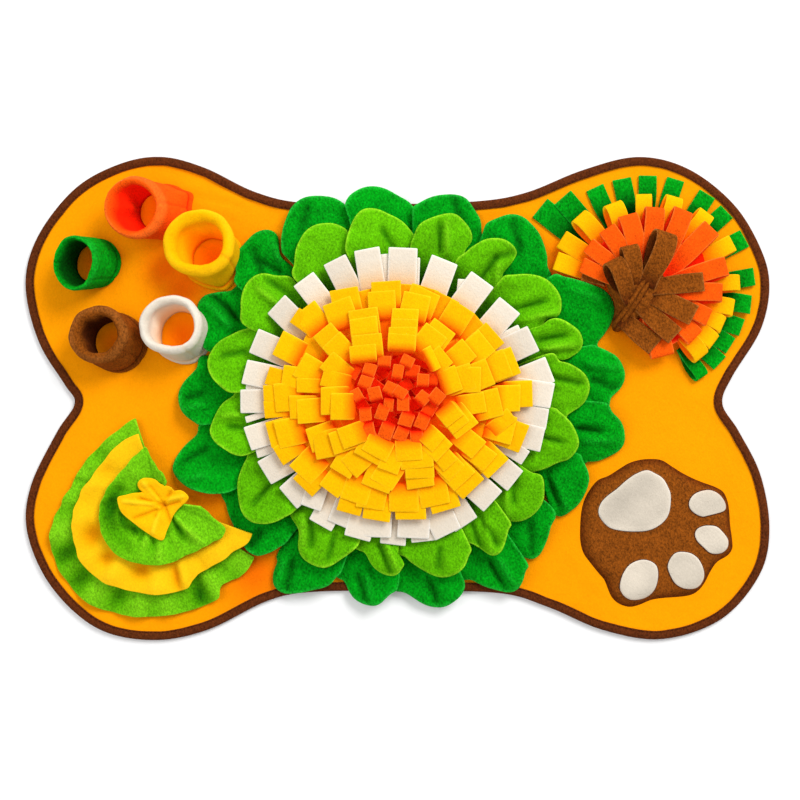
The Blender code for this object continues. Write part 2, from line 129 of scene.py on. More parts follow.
class Wire:
    # a socket of a material, so that an expression on it adds its Math nodes
    def __init__(self, tree, socket=None):
        self.tree = tree
        self.socket = socket

    def node(self, kind, settings, sockets, output=0):
        made = self.tree.nodes.new("ShaderNode" + kind)
        for key, value in settings.items():
            setattr(made, key, value)
        for key, value in sockets.items():
            if isinstance(value, Wire):
                self.tree.links.new(value.socket, made.inputs[key])
            else:
                made.inputs[key].default_value = value
        return Wire(self.tree, made.outputs[output]) if made.outputs else made

    def maths(self, operation, a, b):
        return self.node("Math", {"operation": operation}, {0: a, 1: b})

    def __add__(self, other):
        return self.maths("ADD", self, other)

    def __radd__(self, other):
        return self.maths("ADD", other, self)

    def __sub__(self, other):
        return self.maths("SUBTRACT", self, other)

    def __rsub__(self, other):
        return self.maths("SUBTRACT", other, self)

    def __mul__(self, other):
        return self.maths("MULTIPLY", self, other)

    def __rmul__(self, other):
        return self.maths("MULTIPLY", other, self)

    def __pow__(self, other):
        return self.maths("POWER", self, other)

    def blend(self, a, b):
        return self.node("Mix", {"data_type": "RGBA", "clamp_factor": True}, {0: self, 6: a, 7: b}, 2)

    def brighten(self, colour):
        return self.node("VectorMath", {"operation": "SCALE"}, {0: colour, "Scale": self})


def screenColour(rgb, factor=1.0):
    channels = [channel / 255 for channel in rgb]
    linear = [c / 12.92 if c <= 0.04045 else ((c + 0.055) / 1.055) ** 2.4 for c in channels]
    return [min(1.0, c * factor) for c in linear] + [1.0]


# Each cloth: its colour, its painted shade colour for gaps, creases and hollows (a warm painted
# reflection for the white cloth), its pale colour for cut edges and painted highlights, how strong its
# specks are, how coarse its nap is and how high it stands, how much sheen its fibres have, and how
# strongly its painted shade colour glows as painted light between its pieces
clothLooks = {
    "mat_fleece": dict(colour=(254, 156, 0), deep=(240, 100, 0), rim=(255, 165, 16),
                       specks=0.12, nap=1.6, height=0.16, sheen=0.05),
    "binding_cloth": dict(colour=(90, 42, 15), deep=(46, 18, 6), rim=(126, 70, 34),
                          specks=0.95, nap=1.5, height=0.20, sheen=0.10),
    "leaf_green": dict(colour=(0, 146, 18), deep=(0, 62, 4), rim=(34, 180, 56),
                       specks=0.95, nap=1.8, height=0.36, sheen=0.06),
    "petal_green": dict(colour=(90, 175, 3), deep=(28, 104, 0), rim=(152, 222, 36),
                        specks=0.70, nap=1.7, height=0.32, sheen=0.06),
    "white_fleece": dict(colour=(222, 210, 192), deep=(228, 186, 130), rim=(244, 240, 232),
                         specks=0.08, nap=1.6, height=0.22, sheen=0.10),
    "yellow_fleece": dict(colour=(248, 180, 0), deep=(244, 78, 0), rim=(253, 206, 26),
                          specks=0.18, nap=1.5, height=0.22, sheen=0.06, paintedGlow=0.16),
    "orange_fleece": dict(colour=(240, 86, 8), deep=(238, 8, 0), rim=(255, 140, 56),
                          specks=0.45, nap=1.4, height=0.26, sheen=0.10, paintedGlow=0.12),
    "brown_fleece": dict(colour=(131, 68, 14), deep=(64, 18, 2), rim=(168, 104, 48),
                         specks=0.95, nap=1.7, height=0.45, sheen=0.10),
}
# how strongly each of these tells: specks of light, the painted shade colour, the pale colour of cut edges
# and painted highlights, and the relief
grain = dict(nap=2.6, fibres=1.0, brushed=0.7, broad=0.10, toneAndShading=0.06, deep=0.88, pale=0.8,
             napRelief=2.2, fibresRelief=0.7, brushedRelief=3.0)


def makeCloth(slot, look):
    material = bpy.data.materials.new(slot + "_look")
    material.use_nodes = True
    tree = material.node_tree
    tree.nodes.clear()
    start = Wire(tree)
    place = start.node("TexCoord", {}, {}, "Object")
    rim, deep, toneAndShading = (
        start.node("Attribute", {"attribute_name": name}, {}, "Fac") for name in ("rim", "deep", "toneAndShading")
    )

    def cloudAt(size, detail, stretch=(1.0, 1.0, 1.0)):
        turned = start.node("Mapping", {"vector_type": "POINT"}, {
            "Vector": place, "Rotation": (0.3, 0.2, 0.6), "Scale": stretch})
        return start.node("TexNoise", {"noise_dimensions": "3D"}, {
            "Vector": turned, "Scale": 1000 / size, "Detail": detail, "Roughness": 0.6}, "Fac")

    nap = cloudAt(look["nap"], 3.0, (1.0, 0.7, 1.0))
    fibres = cloudAt(look["nap"] * 0.45, 1.0)
    brushed = cloudAt(look["nap"] * 6, 2.0)
    broad = cloudAt(45.0, 1.0)
    specks, height = look["specks"], look["height"] * mm
    light = 1 + (nap - 0.5) * (specks * grain["nap"]) + (fibres - 0.5) * (specks * grain["fibres"])
    light = light + (brushed - 0.5) * (specks * grain["brushed"]) + (broad - 0.5) * grain["broad"]
    light = light + toneAndShading * grain["toneAndShading"]
    # painted shade blends towards the painted shade colour; pale cut edges and painted highlights blend
    # towards the pale colour
    base = (deep * grain["deep"]).blend(screenColour(look["colour"]), screenColour(look["deep"]))
    base = ((rim ** 2.0) * grain["pale"]).blend(base, screenColour(look["rim"]))
    relief = nap * (height * grain["napRelief"]) + fibres * (height * grain["fibresRelief"])
    relief = relief + brushed * (height * grain["brushedRelief"])
    bump = start.node("Bump", {}, {"Height": relief, "Strength": 1.0, "Distance": 1.0})
    black = (0.0, 0.0, 0.0, 1.0)
    # the painted shade colour also glows as emission, painted light in the gaps between pieces
    shader = start.node("BsdfPrincipled", {}, {
        "Base Color": light.brighten(base), "Roughness": 0.95, "Specular IOR Level": 0.06,
        "Emission Color": (deep ** 3.0).blend(black, screenColour(look["deep"])),
        "Emission Strength": look.get("paintedGlow", 0.0),
        "Sheen Weight": look["sheen"], "Sheen Roughness": 0.5,
        "Sheen Tint": screenColour(look["rim"]), "Normal": bump})
    start.node("OutputMaterial", {}, {"Surface": shader})
    return material


cloths = {slot: makeCloth(slot, look) for slot, look in clothLooks.items()}
print("materials:", len(cloths))


# cloth meshes

def newCloth():
    bm = bmesh.new()
    for name in ("rim", "deep", "toneAndShading"):
        bm.verts.layers.float.new(name)
    return bm


def setPoint(bm, vert, point, rim=0.0, deep=0.0, toneAndShading=0.0):
    layers = bm.verts.layers.float
    vert.co = point * mm
    vert[layers["rim"]] = rim
    vert[layers["deep"]] = deep
    vert[layers["toneAndShading"]] = toneAndShading


def addGrid(bm, columns, rows, place, toneAndShading=0.0):
    # a sheet with these grid lines, 0 to 1; place gives a point, its pale cut edge and painted highlight,
    # and how deep in painted shade it is
    made = bmesh.ops.create_grid(bm, x_segments=len(columns) - 1, y_segments=len(rows) - 1, size=1.0)
    for vert in made["verts"]:
        u = columns[round((vert.co.x + 1) / 2 * (len(columns) - 1))]
        v = rows[round((vert.co.y + 1) / 2 * (len(rows) - 1))]
        point, rim, deep, *own = place(u, v)
        setPoint(bm, vert, point, rim, deep, own[0] if own else toneAndShading)


def addRings(bm, loop, rings, place, toneAndShading=0.0):
    # a sheet of rings from a closed loop inwards; place gives a point of the loop at a ring
    verts = [bm.verts.new((0, 0, 0)) for _ in loop]
    edges = [bm.edges.new((verts[i - 1], verts[i])) for i in range(len(verts))]
    for ring in range(rings + 1):
        for i, vert in enumerate(verts):
            point, rim, deep, *own = place(i, ring / rings)
            setPoint(bm, vert, point, rim, deep, own[0] if own else toneAndShading)
        if ring < rings:
            made = bmesh.ops.extrude_edge_only(bm, edges=edges)["geom"]
            edges = [item for item in made if isinstance(item, bmesh.types.BMEdge)]
            fresh = {vert for edge in edges for vert in edge.verts}
            verts = [next(e.other_vert(v) for e in v.link_edges if e.other_vert(v) in fresh) for v in verts]
    bmesh.ops.poke(bm, faces=[bm.faces.new(verts)])


def addPiece(name, bm, slot, nodes=(), thickness=0.0, levels=1):
    bmesh.ops.recalc_face_normals(bm, faces=bm.faces)
    mesh = bpy.data.meshes.new(name)
    bm.to_mesh(mesh)
    bm.free()
    mesh.materials.append(cloths[slot])
    mesh.shade_smooth()
    piece = bpy.data.objects.new(name, mesh)
    bpy.context.scene.collection.objects.link(piece)
    if thickness:
        wall = piece.modifiers.new("wall", "SOLIDIFY")
        wall.thickness = thickness * mm
        wall.offset = 0.0
    if levels:
        rounding = piece.modifiers.new("rounding", "SUBSURF")
        rounding.levels = rounding.render_levels = levels
    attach(piece, "root")
    if nodes:
        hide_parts(*nodes)
    return piece


def lines(count, edge=0.05):
    # even grid lines with two close ones at each end, which keep the cut edge crisp
    inner = [edge + (1 - 2 * edge) * i / (count - 2) for i in range(count - 1)]
    return [0.0] + inner + [1.0]


# the mat

matShape = dict(
    outline=(
        (-322, -5), (-332, 14), (-358, 57), (-371, 113), (-359, 161), (-322, 209), (-277, 234),
        (-235, 241), (-192, 230), (-142, 206), (-92, 195), (0, 194), (82, 197), (130, 206),
        (185, 228), (240, 241), (290, 229), (335, 194), (362, 150), (371, 112), (362, 68),
        (334, 22), (324, -5), (340, -32), (362, -76), (371, -130), (361, -176), (323, -220),
        (264, -240), (205, -231), (150, -208), (100, -194), (0, -192), (-85, -193), (-130, -202),
        (-190, -231), (-245, -241), (-300, -229), (-345, -188), (-369, -135), (-366, -88), (-340, -34),
    ),
    thickness=3.0, trim=1.8, rings=52, innerRing=0.12, ringSpread=0.9, insetShare=0.92,
    # the tape lifts its edge: how much, and how far in the lift fades
    rimLift=1.5, liftFades=(9.0, 19.0),
    # how high its waves are and how long, and how far in the waves and creases begin
    waves=0.5, waveSize=55.0, reliefStarts=(10, 26),
    # where pieces stand close around it: middle, size
    shades=(((-215, 110), 24), ((-232, 128), 22), ((0, 0), 140), ((-182, -84), 28), ((-142, -172), 36),
            ((240, 110), 56), ((170, 130), 30),
            ((-182, 138), 22), ((-213, 63), 22), ((-231, 185), 22), ((-279, 55), 22), ((-299, 135), 22)),
    # painted light and shade on the mat inside a cup, lighter above 0 and darker below 0: middle, amount;
    # and how far out that fades
    cupEdge=(23, 28),
    cupShades=(((-182, 138), 0.5), ((-213, 63), 3.0), ((-231, 185), 3.0), ((-279, 55), 1.0),
               ((-299, 135), -2.0)),
    # soft creases: from and to, width, height
    creases=(
        ((-150, -172), (-112, -196), 5, 1.3), ((-222, 214), (-150, 196), 5, 1.2),
        ((-205, 196), (-160, 186), 4, 0.9), ((338, -70), (352, -128), 7, 1.3),
        ((200, -190), (172, -150), 8, 1.0), ((-352, -60), (-338, -112), 7, 1.1),
        ((-340, 150), (-352, 96), 8, 1.0), ((150, 188), (190, 206), 6, 1.0),
        ((250, -222), (310, -212), 5, 0.9), ((-262, -222), (-200, -216), 5, 0.9),
        ((300, 10), (276, -40), 9, 0.9), ((-290, 6), (-262, -30), 9, 0.8),
    ),
)
bone = smoothLoop(matShape["outline"], 10)
boneIn = inwards(bone)


def matRelief(point):
    # how much the cloth stands up from where it lies flat
    height = matShape["waves"] * (0.5 + lumps(point, matShape["waveSize"], 3.0))
    for start, end, width, rise in matShape["creases"]:
        a, b = Vector((*start, 0)), Vector((*end, 0))
        along = (point - a).dot(b - a) / (b - a).length_squared
        beside = (point - a - (b - a) * along).length
        height += rise * bell(beside, width) * bell(max(0.0, abs(along - 0.5) - 0.3), 0.2)
    return max(0.0, height)


def makeMat():
    shape = matShape
    bm = newCloth()

    def place(i, depth):
        inset = bone[i] + boneIn[i] * shape["trim"]
        point = inset * mix(1.0, shape["innerRing"], depth ** shape["ringSpread"])
        off = shape["trim"] + (inset - point).length * shape["insetShare"]
        lift = shape["rimLift"] * (1 - ease(*shape["liftFades"], off))
        relief = matRelief(point) * ease(*shape["reliefStarts"], off)
        point.z = shape["thickness"] / 2 + lift + relief
        # painted shade where pieces stand close around it, and painted light and shade on the mat inside
        # the cups
        shade = max(bell((point.xy - Vector(at)).length, size) for at, size in shape["shades"])
        toneAndShading = sum(dark * (1 - ease(*shape["cupEdge"], (point.xy - Vector(at)).length))
                   for at, dark in shape["cupShades"])
        return point, 0.0, shade, toneAndShading

    addRings(bm, bone, shape["rings"], place)
    mat = addPiece("mat_cloth", bm, "mat_fleece", ["mat"], shape["thickness"], 0)


tape = dict(
    # across the tape from its upper edge over the fold to its lower edge: how far in, how high
    section=(
        (9.0, 5.05), (8.5, 5.3), (7.7, 4.95), (6.9, 5.35), (5.2, 5.8), (3.2, 5.75), (1.5, 5.15),
        (0.7, 4.1), (0.6, 3.0), (0.7, 1.9), (1.5, 0.95), (3.2, 0.62), (6.2, 0.62), (9.0, 0.62),
    ),
    thickness=1.2, width=9.0, paleEdge=0.6, seamRow=2,
    # how far its edge wanders and its top puckers, each with the size of its lumps
    wander=(0.45, 14.0), pucker=(0.22, 5.0), topAbove=3.0, foldWidth=2.0,
    stitch=(2.9, 1.0, 0.8), stitchIn=7.7, stitchHeight=5.75, stitchPitch=4.4,
)


def makeTape():
    bm = newCloth()
    section = tape["section"]
    verts = [bm.verts.new((0, 0, 0)) for _ in range(len(bone) * len(section))]
    wanders, wanderSize = tape["wander"]
    puckers, puckerSize = tape["pucker"]
    for i, (edgePoint, inside) in enumerate(zip(bone, boneIn)):
        for k, (inset, height) in enumerate(section):
            wander = wanders * lumps(edgePoint, wanderSize, 9.0) * (inset / tape["width"])
            onTop = height > tape["topAbove"] and inset > tape["foldWidth"]
            point = edgePoint + inside * (inset + wander)
            point.z = height + (puckers * lumps(edgePoint, puckerSize, 5.0) if onTop else 0.0)
            isEdge = k in (0, len(section) - 1)
            # the row in the dip along its seam is darkened with painted shade
            setPoint(bm, verts[i * len(section) + k], point, tape["paleEdge"] * isEdge,
                     1.0 * (k == tape["seamRow"]))
    for i in range(len(bone)):
        for k in range(len(section) - 1):
            a, b = i * len(section) + k, (i + 1) % len(bone) * len(section) + k
            bm.faces.new([verts[n] for n in (a, b, b + 1, a + 1)])
    binding = addPiece("binding_tape", bm, "binding_cloth", ["binding"], tape["thickness"], 1)


def makeStitches():
    one = newCloth()
    bmesh.ops.create_uvsphere(one, u_segments=6, v_segments=4, radius=1.0)
    bmesh.ops.scale(one, verts=one.verts, vec=Vector(tape["stitch"]) / 2)
    stitch = bpy.data.meshes.new("stitch")
    one.to_mesh(stitch)
    one.free()
    bm = newCloth()
    total = 0.0
    nextAt = 0.0
    for i, start in enumerate(bone):
        end = bone[(i + 1) % len(bone)]
        startIn, endIn = boneIn[i], boneIn[(i + 1) % len(bone)]
        run = (end - start).length
        while nextAt < total + run:
            share = (nextAt - total) / run
            middle = mix(start, end, share) + mix(startIn, endIn, share) * tape["stitchIn"]
            turn = math.atan2(end.y - start.y, end.x - start.x)
            middle.z = tape["stitchHeight"]
            place = Matrix.Scale(mm, 4) @ Matrix.Translation(middle) @ Matrix.Rotation(turn, 4, "Z")
            stitch.transform(place)
            bm.from_mesh(stitch)
            stitch.transform(place.inverted())
            nextAt += tape["stitchPitch"]
        total += run
    addPiece("binding_stitches", bm, "binding_cloth", levels=0)


makeMat()
makeTape()
makeStitches()
print("mat and binding")


# petals

# Each petal: its direction, the outline of the part that shows, and its creases: from, to, and 1 for
# a ridge or -1 for a trough, all measured from the flower's middle
outerPetals = dict(
    name="outer_petal", node="leaf", slot="leaf_green", root=112, crest=190, rise=9.0, drop=8.0, lap=6.0,
    curl=1.2, crease=6.4, creaseWidth=3.2, wavy=1.9,
    rows=(
        (115, ((-48, 172), (-54, 192), (-59, 195), (-65, 198), (-75, 199), (-85, 199), (-94, 197),
          (-101, 192), (-107, 184), (-112, 172), (-115, 159), (-116, 149), (-114, 142), (-109, 138)),
         ((-89, 189, -97, 159, -1),)),
        (96, ((16, 166), (13, 191), (2, 198), (-5, 202), (-13, 206), (-23, 208), (-32, 207), (-40, 204),
          (-47, 199), (-51, 193), (-53, 187), (-46, 173)), ()),
        (74, ((76, 148), (83, 162), (83, 172), (80, 180), (76, 186), (71, 193), (67, 197), (61, 199),
          (53, 200), (42, 199), (34, 197), (25, 193), (19, 189), (14, 186), (16, 166)),
         ((56, 194, 63, 169, -1),)),
        (50, ((145, 120), (148, 127), (149, 137), (147, 144), (145, 151), (141, 161), (134, 169),
          (127, 176), (120, 179), (111, 180), (101, 177), (91, 173), (85, 170), (85, 159)),
         ((113, 172, 121, 144, -1),)),
        (27, ((192, 50), (197, 52), (203, 58), (208, 64), (212, 72), (215, 79), (216, 87), (214, 95),
          (210, 101), (204, 106), (197, 109), (186, 112), (177, 115), (168, 117), (160, 118), (150, 116)),
         ((168, 105, 204, 95, 1),)),
        (6, ((202, -8), (210, -3), (216, 2), (221, 6), (225, 14), (226, 22), (223, 31), (217, 39),
          (208, 44), (200, 48), (193, 50), (187, 48)), ((192, 16, 215, 8, -1), (190, 31, 218, 28, 1))),
        (-11, ((181, -61), (186, -65), (192, -66), (200, -65), (207, -62), (215, -58), (221, -54),
          (225, -48), (226, -41), (224, -32), (220, -24), (214, -18), (208, -13), (202, -8)),
         ((180, -32, 200, -34, -1), (185, -44, 218, -44, 1))),
        (-29, ((145, -86), (152, -114), (156, -119), (160, -121), (165, -120), (170, -116), (177, -111),
          (182, -105), (186, -96), (189, -87), (189, -78), (186, -70), (182, -63), (176, -58)),
         ((147, -75, 160, -108, -1), (154, -83, 166, -111, 1))),
        (-46, ((109, -147), (111, -152), (117, -156), (123, -159), (128, -162), (134, -163),
          (138, -161), (143, -155), (146, -148), (149, -140), (151, -128), (151, -111)),
         ((131, -128, 133, -155, -1),)),
        (-61, ((61, -175), (71, -182), (79, -186), (88, -190), (96, -192), (104, -194), (111, -195),
          (117, -193), (122, -187), (125, -179), (126, -170), (124, -162)),
         ((91, -164, 104, -187, -1), (101, -162, 115, -187, 1))),
        (-79, ((-1, -185), (7, -195), (14, -200), (22, -205), (30, -209), (39, -210), (47, -209),
          (53, -205), (60, -200), (65, -193), (67, -185), (64, -179), (60, -174)),
         ((32, -184, 39, -205, -1),)),
        (-98, ((-56, -174), (-54, -183), (-50, -192), (-46, -199), (-40, -204), (-32, -207),
          (-23, -208), (-18, -206), (-12, -200), (-6, -194), (-1, -185)),
         ((-40, -177, -32, -202, -1), (-30, -180, -26, -204, 1))),
        (-118, ((-113, -158), (-119, -164), (-123, -172), (-125, -182), (-124, -189), (-119, -194),
          (-112, -197), (-104, -196), (-95, -195), (-85, -192), (-75, -190), (-65, -185), (-60, -177),
          (-57, -172)), ((-114, -164, -120, -188, 1), (-105, -164, -110, -190, -1))),
        (-138, ((-168, -96), (-170, -108), (-169, -118), (-151, -152), (-146, -155), (-141, -159),
          (-132, -157), (-122, -153), (-114, -147), (-111, -143)), ((-135, -133, -146, -150, -1),)),
        (-160, ((-191, -32), (-198, -37), (-206, -43), (-214, -51), (-220, -59), (-224, -68),
          (-225, -74), (-221, -80), (-214, -87), (-206, -92), (-196, -95), (-184, -97), (-174, -96),
          (-162, -91)), ((-191, -53, -214, -65, -1), (-191, -78, -211, -83, 1))),
        (179, ((-191, 34), (-199, 29), (-206, 21), (-213, 14), (-218, 4), (-218, -4), (-216, -12),
          (-212, -18), (-206, -23), (-200, -26), (-191, -27)),
         ((-193, 3, -210, -2, -1), (-193, -9, -208, -12, 1))),
        (161, ((-155, 104), (-164, 105), (-174, 104), (-184, 103), (-192, 101), (-197, 96), (-200, 89),
          (-197, 80), (-195, 72), (-194, 62), (-191, 53), (-187, 46)),
         ((-186, 103, -157, 75, -1), (-184, 100, -162, 79, -1), (-192, 96, -165, 68, 1))),
        (136, ((-109, 123), (-116, 137), (-119, 149), (-119, 158), (-124, 165), (-131, 166),
          (-139, 164), (-146, 159), (-153, 151), (-159, 144), (-161, 133), (-160, 120), (-156, 108)),
         ((-135, 133, -117, 123, -1), (-125, 156, -117, 133, 1), (-144, 144, -135, 120, -1))),
    ),
)
innerPetals = dict(
    name="inner_petal", node="petal", slot="petal_green", root=100, crest=160, rise=25.0, drop=8.0, lap=6.0,
    curl=1.6, crease=6.6, creaseWidth=3.2, wavy=1.8,
    rows=(
        (117, ((-51, 142), (-49, 162), (-56, 167), (-63, 170), (-71, 170), (-81, 168), (-90, 162),
          (-96, 152), (-100, 142), (-101, 128), (-99, 114)), ()),
        (96.5, ((13, 146), (15, 159), (7, 169), (-1, 175), (-10, 179), (-19, 183), (-27, 184),
          (-35, 182), (-42, 175), (-47, 164), (-50, 154), (-51, 147), (-48, 138)),
         ((-15, 162, -6, 146, -1),)),
        (74.5, ((58, 130), (65, 141), (73, 152), (73, 158), (70, 166), (63, 174), (58, 178), (51, 179),
          (41, 177), (33, 174), (23, 169), (18, 163), (14, 152), (14, 145)),
         ((41, 167, 41, 140, -1), (47, 170, 48, 140, 1))),
        (53, ((100, 102), (101, 117), (105, 123), (111, 130), (116, 137), (118, 142), (115, 146),
          (109, 151), (102, 154), (93, 154), (85, 153), (78, 149), (70, 144), (63, 137), (58, 131)),
         ((80, 113, 96, 135, -1), (96, 135, 117, 142, -1), (98, 131, 97, 101, 1))),
        (36, ((131, 65), (140, 68), (144, 72), (147, 77), (158, 78), (161, 89), (160, 97), (157, 103),
          (151, 110), (144, 115), (134, 118), (124, 119), (114, 118), (106, 117), (101, 112)),
         ((111, 72, 153, 81, 1), (104, 82, 144, 93, -1))),
        (18.5, ((146, 41), (153, 36), (164, 35), (176, 42), (180, 46), (182, 53), (178, 63), (170, 69),
          (161, 74), (153, 76), (146, 74), (139, 68), (131, 64)),
         ((139, 55, 163, 59, -1), (144, 46, 173, 50, 1))),
        (2, ((160, -16), (165, -19), (171, -16), (183, -7), (188, 5), (188, 11), (185, 18), (180, 24),
          (172, 29), (164, 33), (156, 34), (148, 40)), ((148, 19, 178, 12, -1),)),
        (-17, ((124, -69), (134, -74), (140, -73), (148, -70), (158, -65), (168, -62), (176, -52),
          (177, -44), (174, -35), (169, -26), (163, -20), (156, -14), (149, -13)),
         ((134, -39, 160, -45, -1),)),
        (-38, ((93, -108), (100, -118), (107, -122), (116, -124), (124, -122), (131, -118), (137, -112),
          (141, -105), (143, -97), (142, -82), (139, -76), (131, -75), (124, -73)),
         ((106, -94, 107, -117, 1), (112, -82, 113, -104, -1))),
        (-56, ((61, -133), (70, -144), (78, -148), (84, -152), (90, -156), (95, -157), (101, -153),
          (104, -147), (106, -139), (108, -129), (107, -122)),
         ((80, -116, 97, -146, -1), (86, -123, 92, -152, 1), (72, -126, 80, -146, -1))),
        (-76, ((2, -150), (5, -156), (11, -162), (18, -167), (26, -172), (34, -176), (42, -178),
          (50, -177), (57, -174), (63, -169), (67, -163), (69, -155), (69, -147)),
         ((41, -148, 39, -168, -1),)),
        (-95, ((-36, -146), (-33, -153), (-29, -160), (-25, -167), (-19, -172), (-13, -175), (-5, -176),
          (1, -173), (3, -169), (7, -164), (2, -158), (-2, -152)),
         ((-18, -146, -7, -172, -1), (-11, -146, -1, -168, 1))),
        (-114, ((-99, -112), (-97, -131), (-98, -146), (-97, -154), (-92, -161), (-85, -165),
          (-76, -168), (-67, -167), (-59, -162), (-50, -156), (-43, -150), (-39, -142)),
         ((-93, -116, -92, -148, 1), (-85, -119, -85, -146, -1), (-62, -136, -68, -158, -1))),
        (-142.5, ((-140, -57), (-147, -59), (-151, -65), (-154, -72), (-157, -80), (-158, -88),
          (-157, -99), (-155, -108), (-151, -117), (-144, -123), (-137, -125), (-127, -125),
          (-117, -122), (-108, -117), (-100, -109)), ((-120, -82, -142, -106, -1),)),
        (-169.5, ((-153, 4), (-160, 1), (-167, -3), (-174, -9), (-179, -18), (-183, -27), (-185, -34),
          (-182, -41), (-177, -47), (-169, -52), (-161, -57), (-152, -59), (-143, -54)),
         ((-148, -32, -166, -30, -1), (-148, -18, -170, -19, 1))),
        (168, ((-136, 67), (-144, 67), (-154, 65), (-164, 60), (-174, 55), (-181, 48), (-185, 41),
          (-187, 33), (-185, 25), (-181, 17), (-175, 11), (-168, 5), (-162, 2), (-154, 5)),
         ((-150, 43, -172, 39, -1),)),
        (144, ((-101, 100), (-100, 112), (-103, 116), (-108, 118), (-115, 118), (-123, 119),
          (-130, 121), (-137, 120), (-145, 115), (-151, 106), (-153, 98), (-153, 84), (-147, 69)),
         ((-127, 113, -103, 96, -1), (-137, 105, -110, 84, 1))),
    ),
)
petalShape = dict(
    steps=48, rings=9, ringReach=0.96, thickness=2.4, air=0.3,
    # half its root's angle; how far one side goes under the next petal, and the other's share of that
    rootSpread=9.0, tuck=7.0, otherTuck=0.3,
    edgeDrop=1.6, gather=1.5, gatherTurns=8, waveHeight=1.8, waveSize=14.0, lump=1.1, lumpSize=20.0,
    # how much each of these darkens it, or lightens it below 0
    shades=dict(root=0.9, gather=-0.12, trough=0.95, ridge=-0.55),
    # between which shares of its length or of the way to its edge each of these comes or goes
    fades=dict(edgeDrop=(0.7, 1.0), gather=(0.45, 0.95), root=(0.1, 0.6), wave=(0.4, 1.0), pale=(0.9, 1.0)),
)


def evenLoop(points, count):
    # a smooth closed loop through the points, with its steps all alike
    fine = smoothLoop(points, 6)
    spans = [(b - a).length for a, b in zip(fine, fine[1:] + fine[:1])]
    step = sum(spans) / count
    loop = []
    behind = 0.0
    for i, span in enumerate(spans):
        while behind < span and len(loop) < count:
            loop.append(mix(fine[i], fine[(i + 1) % len(fine)], behind / span))
            behind += step
        behind -= span
    return loop


def loopArea(loop):
    return abs(sum(a.x * b.y - b.x * a.y for a, b in zip(loop, loop[1:] + loop[:1]))) / 2


def makePetals(ring):
    shape, shades, fades = petalShape, petalShape["shades"], petalShape["fades"]
    for number, (angle, shown, creases) in enumerate(ring["rows"], 1):
        out, left = polar(angle, 1.0), polar(angle + 90, 1.0)
        shown = [Vector((*point, 0.0)) for point in shown]
        # its clockwise side goes on under the next petal
        shown[0] = shown[0] - left * shape["tuck"]
        shown[-1] = shown[-1] + left * shape["tuck"] * shape["otherTuck"]
        roots = [polar(angle + side * shape["rootSpread"], ring["root"]) for side in (1, -1)]
        loop = evenLoop([point.xy for point in shown + roots], shape["steps"])
        centre = sum(loop, Vector()) / len(loop)
        reach = max(point.dot(out) for point in loop)
        sides = [point.dot(left) for point in loop]
        halfWidth = (max(sides) - min(sides)) / 2
        middle = sum(sides) / len(loop)
        flat = seat + shape["thickness"] / 2

        def place(i, depth):
            edge = 1 - depth * shape["ringReach"]
            point = mix(centre, loop[i], edge)
            along = (point.dot(out) - ring["root"]) / (reach - ring["root"])
            across = (point.dot(left) - middle) / halfWidth
            climb = max(0.0, (point.length - ring["root"]) / (ring["crest"] - ring["root"]))
            near = min(1.0, climb)
            height = flat + shape["air"]
            height += ring["rise"] * math.sin(math.pi / 2 * near) - ring["drop"] * max(0.0, climb - 1) ** 2
            height += climb * (ring["lap"] * across + ring["curl"] * across ** 2)
            height -= near * shape["edgeDrop"] * ease(*fades["edgeDrop"], edge)
            gathers = math.cos(across * shape["gatherTurns"] + number * 2.3)
            gathers = gathers * (1 - ease(*fades["gather"], along)) * near
            height += shape["gather"] * gathers
            shade = shades["root"] * (1 - ease(*fades["root"], along)) + shades["gather"] * gathers
            for x1, y1, x2, y2, way in creases:
                fold = bell(fromLine(point, (x1, y1), (x2, y2)), ring["creaseWidth"]) * near
                height += way * ring["crease"] * fold
                shade += shades["trough" if way < 0 else "ridge"] * fold
            wave = lumps(Vector((point.x, point.y, number * 40.0)), shape["waveSize"], number * 3.1)
            height += ring["wavy"] * shape["waveHeight"] * wave * ease(*fades["wave"], edge) * near
            height += shape["lump"] * lumps(point, shape["lumpSize"], number) * near
            point.z = max(flat, height)
            # pale cut edge, and painted highlight on the ridges
            rim = max(ease(*fades["pale"], edge), -shade)
            return point + flower, rim, max(0.0, min(1.0, shade))

        bm = newCloth()
        addRings(bm, loop, shape["rings"], place, random.Random(number).uniform(-1, 1))
        petal = addPiece(f"{ring['name']}_{number:02d}", bm, ring["slot"],
                         [f"{ring['node']}_{number:02d}"], shape["thickness"], 1)
        size = (2 * halfWidth * mm, (reach - ring["root"]) * 1.05 * mm)
        min(0.99 * size[0] * size[1], 1.05 * loopArea(loop) * mm * mm)


makePetals(outerPetals)
makePetals(innerPetals)
print("petals")


# the flower's strands: strips that stand up from the mat and bend outwards

strandShape = dict(
    across=(0.0, 0.07, 0.5, 0.93, 1.0),
    # -1 at its root, 0 where it bends and 1 at its tip
    along=(-1.0, -0.5, -0.18, -0.05, 0.08, 0.28, 0.5, 0.75, 0.95, 1.0),
    thickness=1.9, rootAbove=1.2, rootWidth=0.8, widens=(-0.6, 0.2), paleFrom=0.93,
)


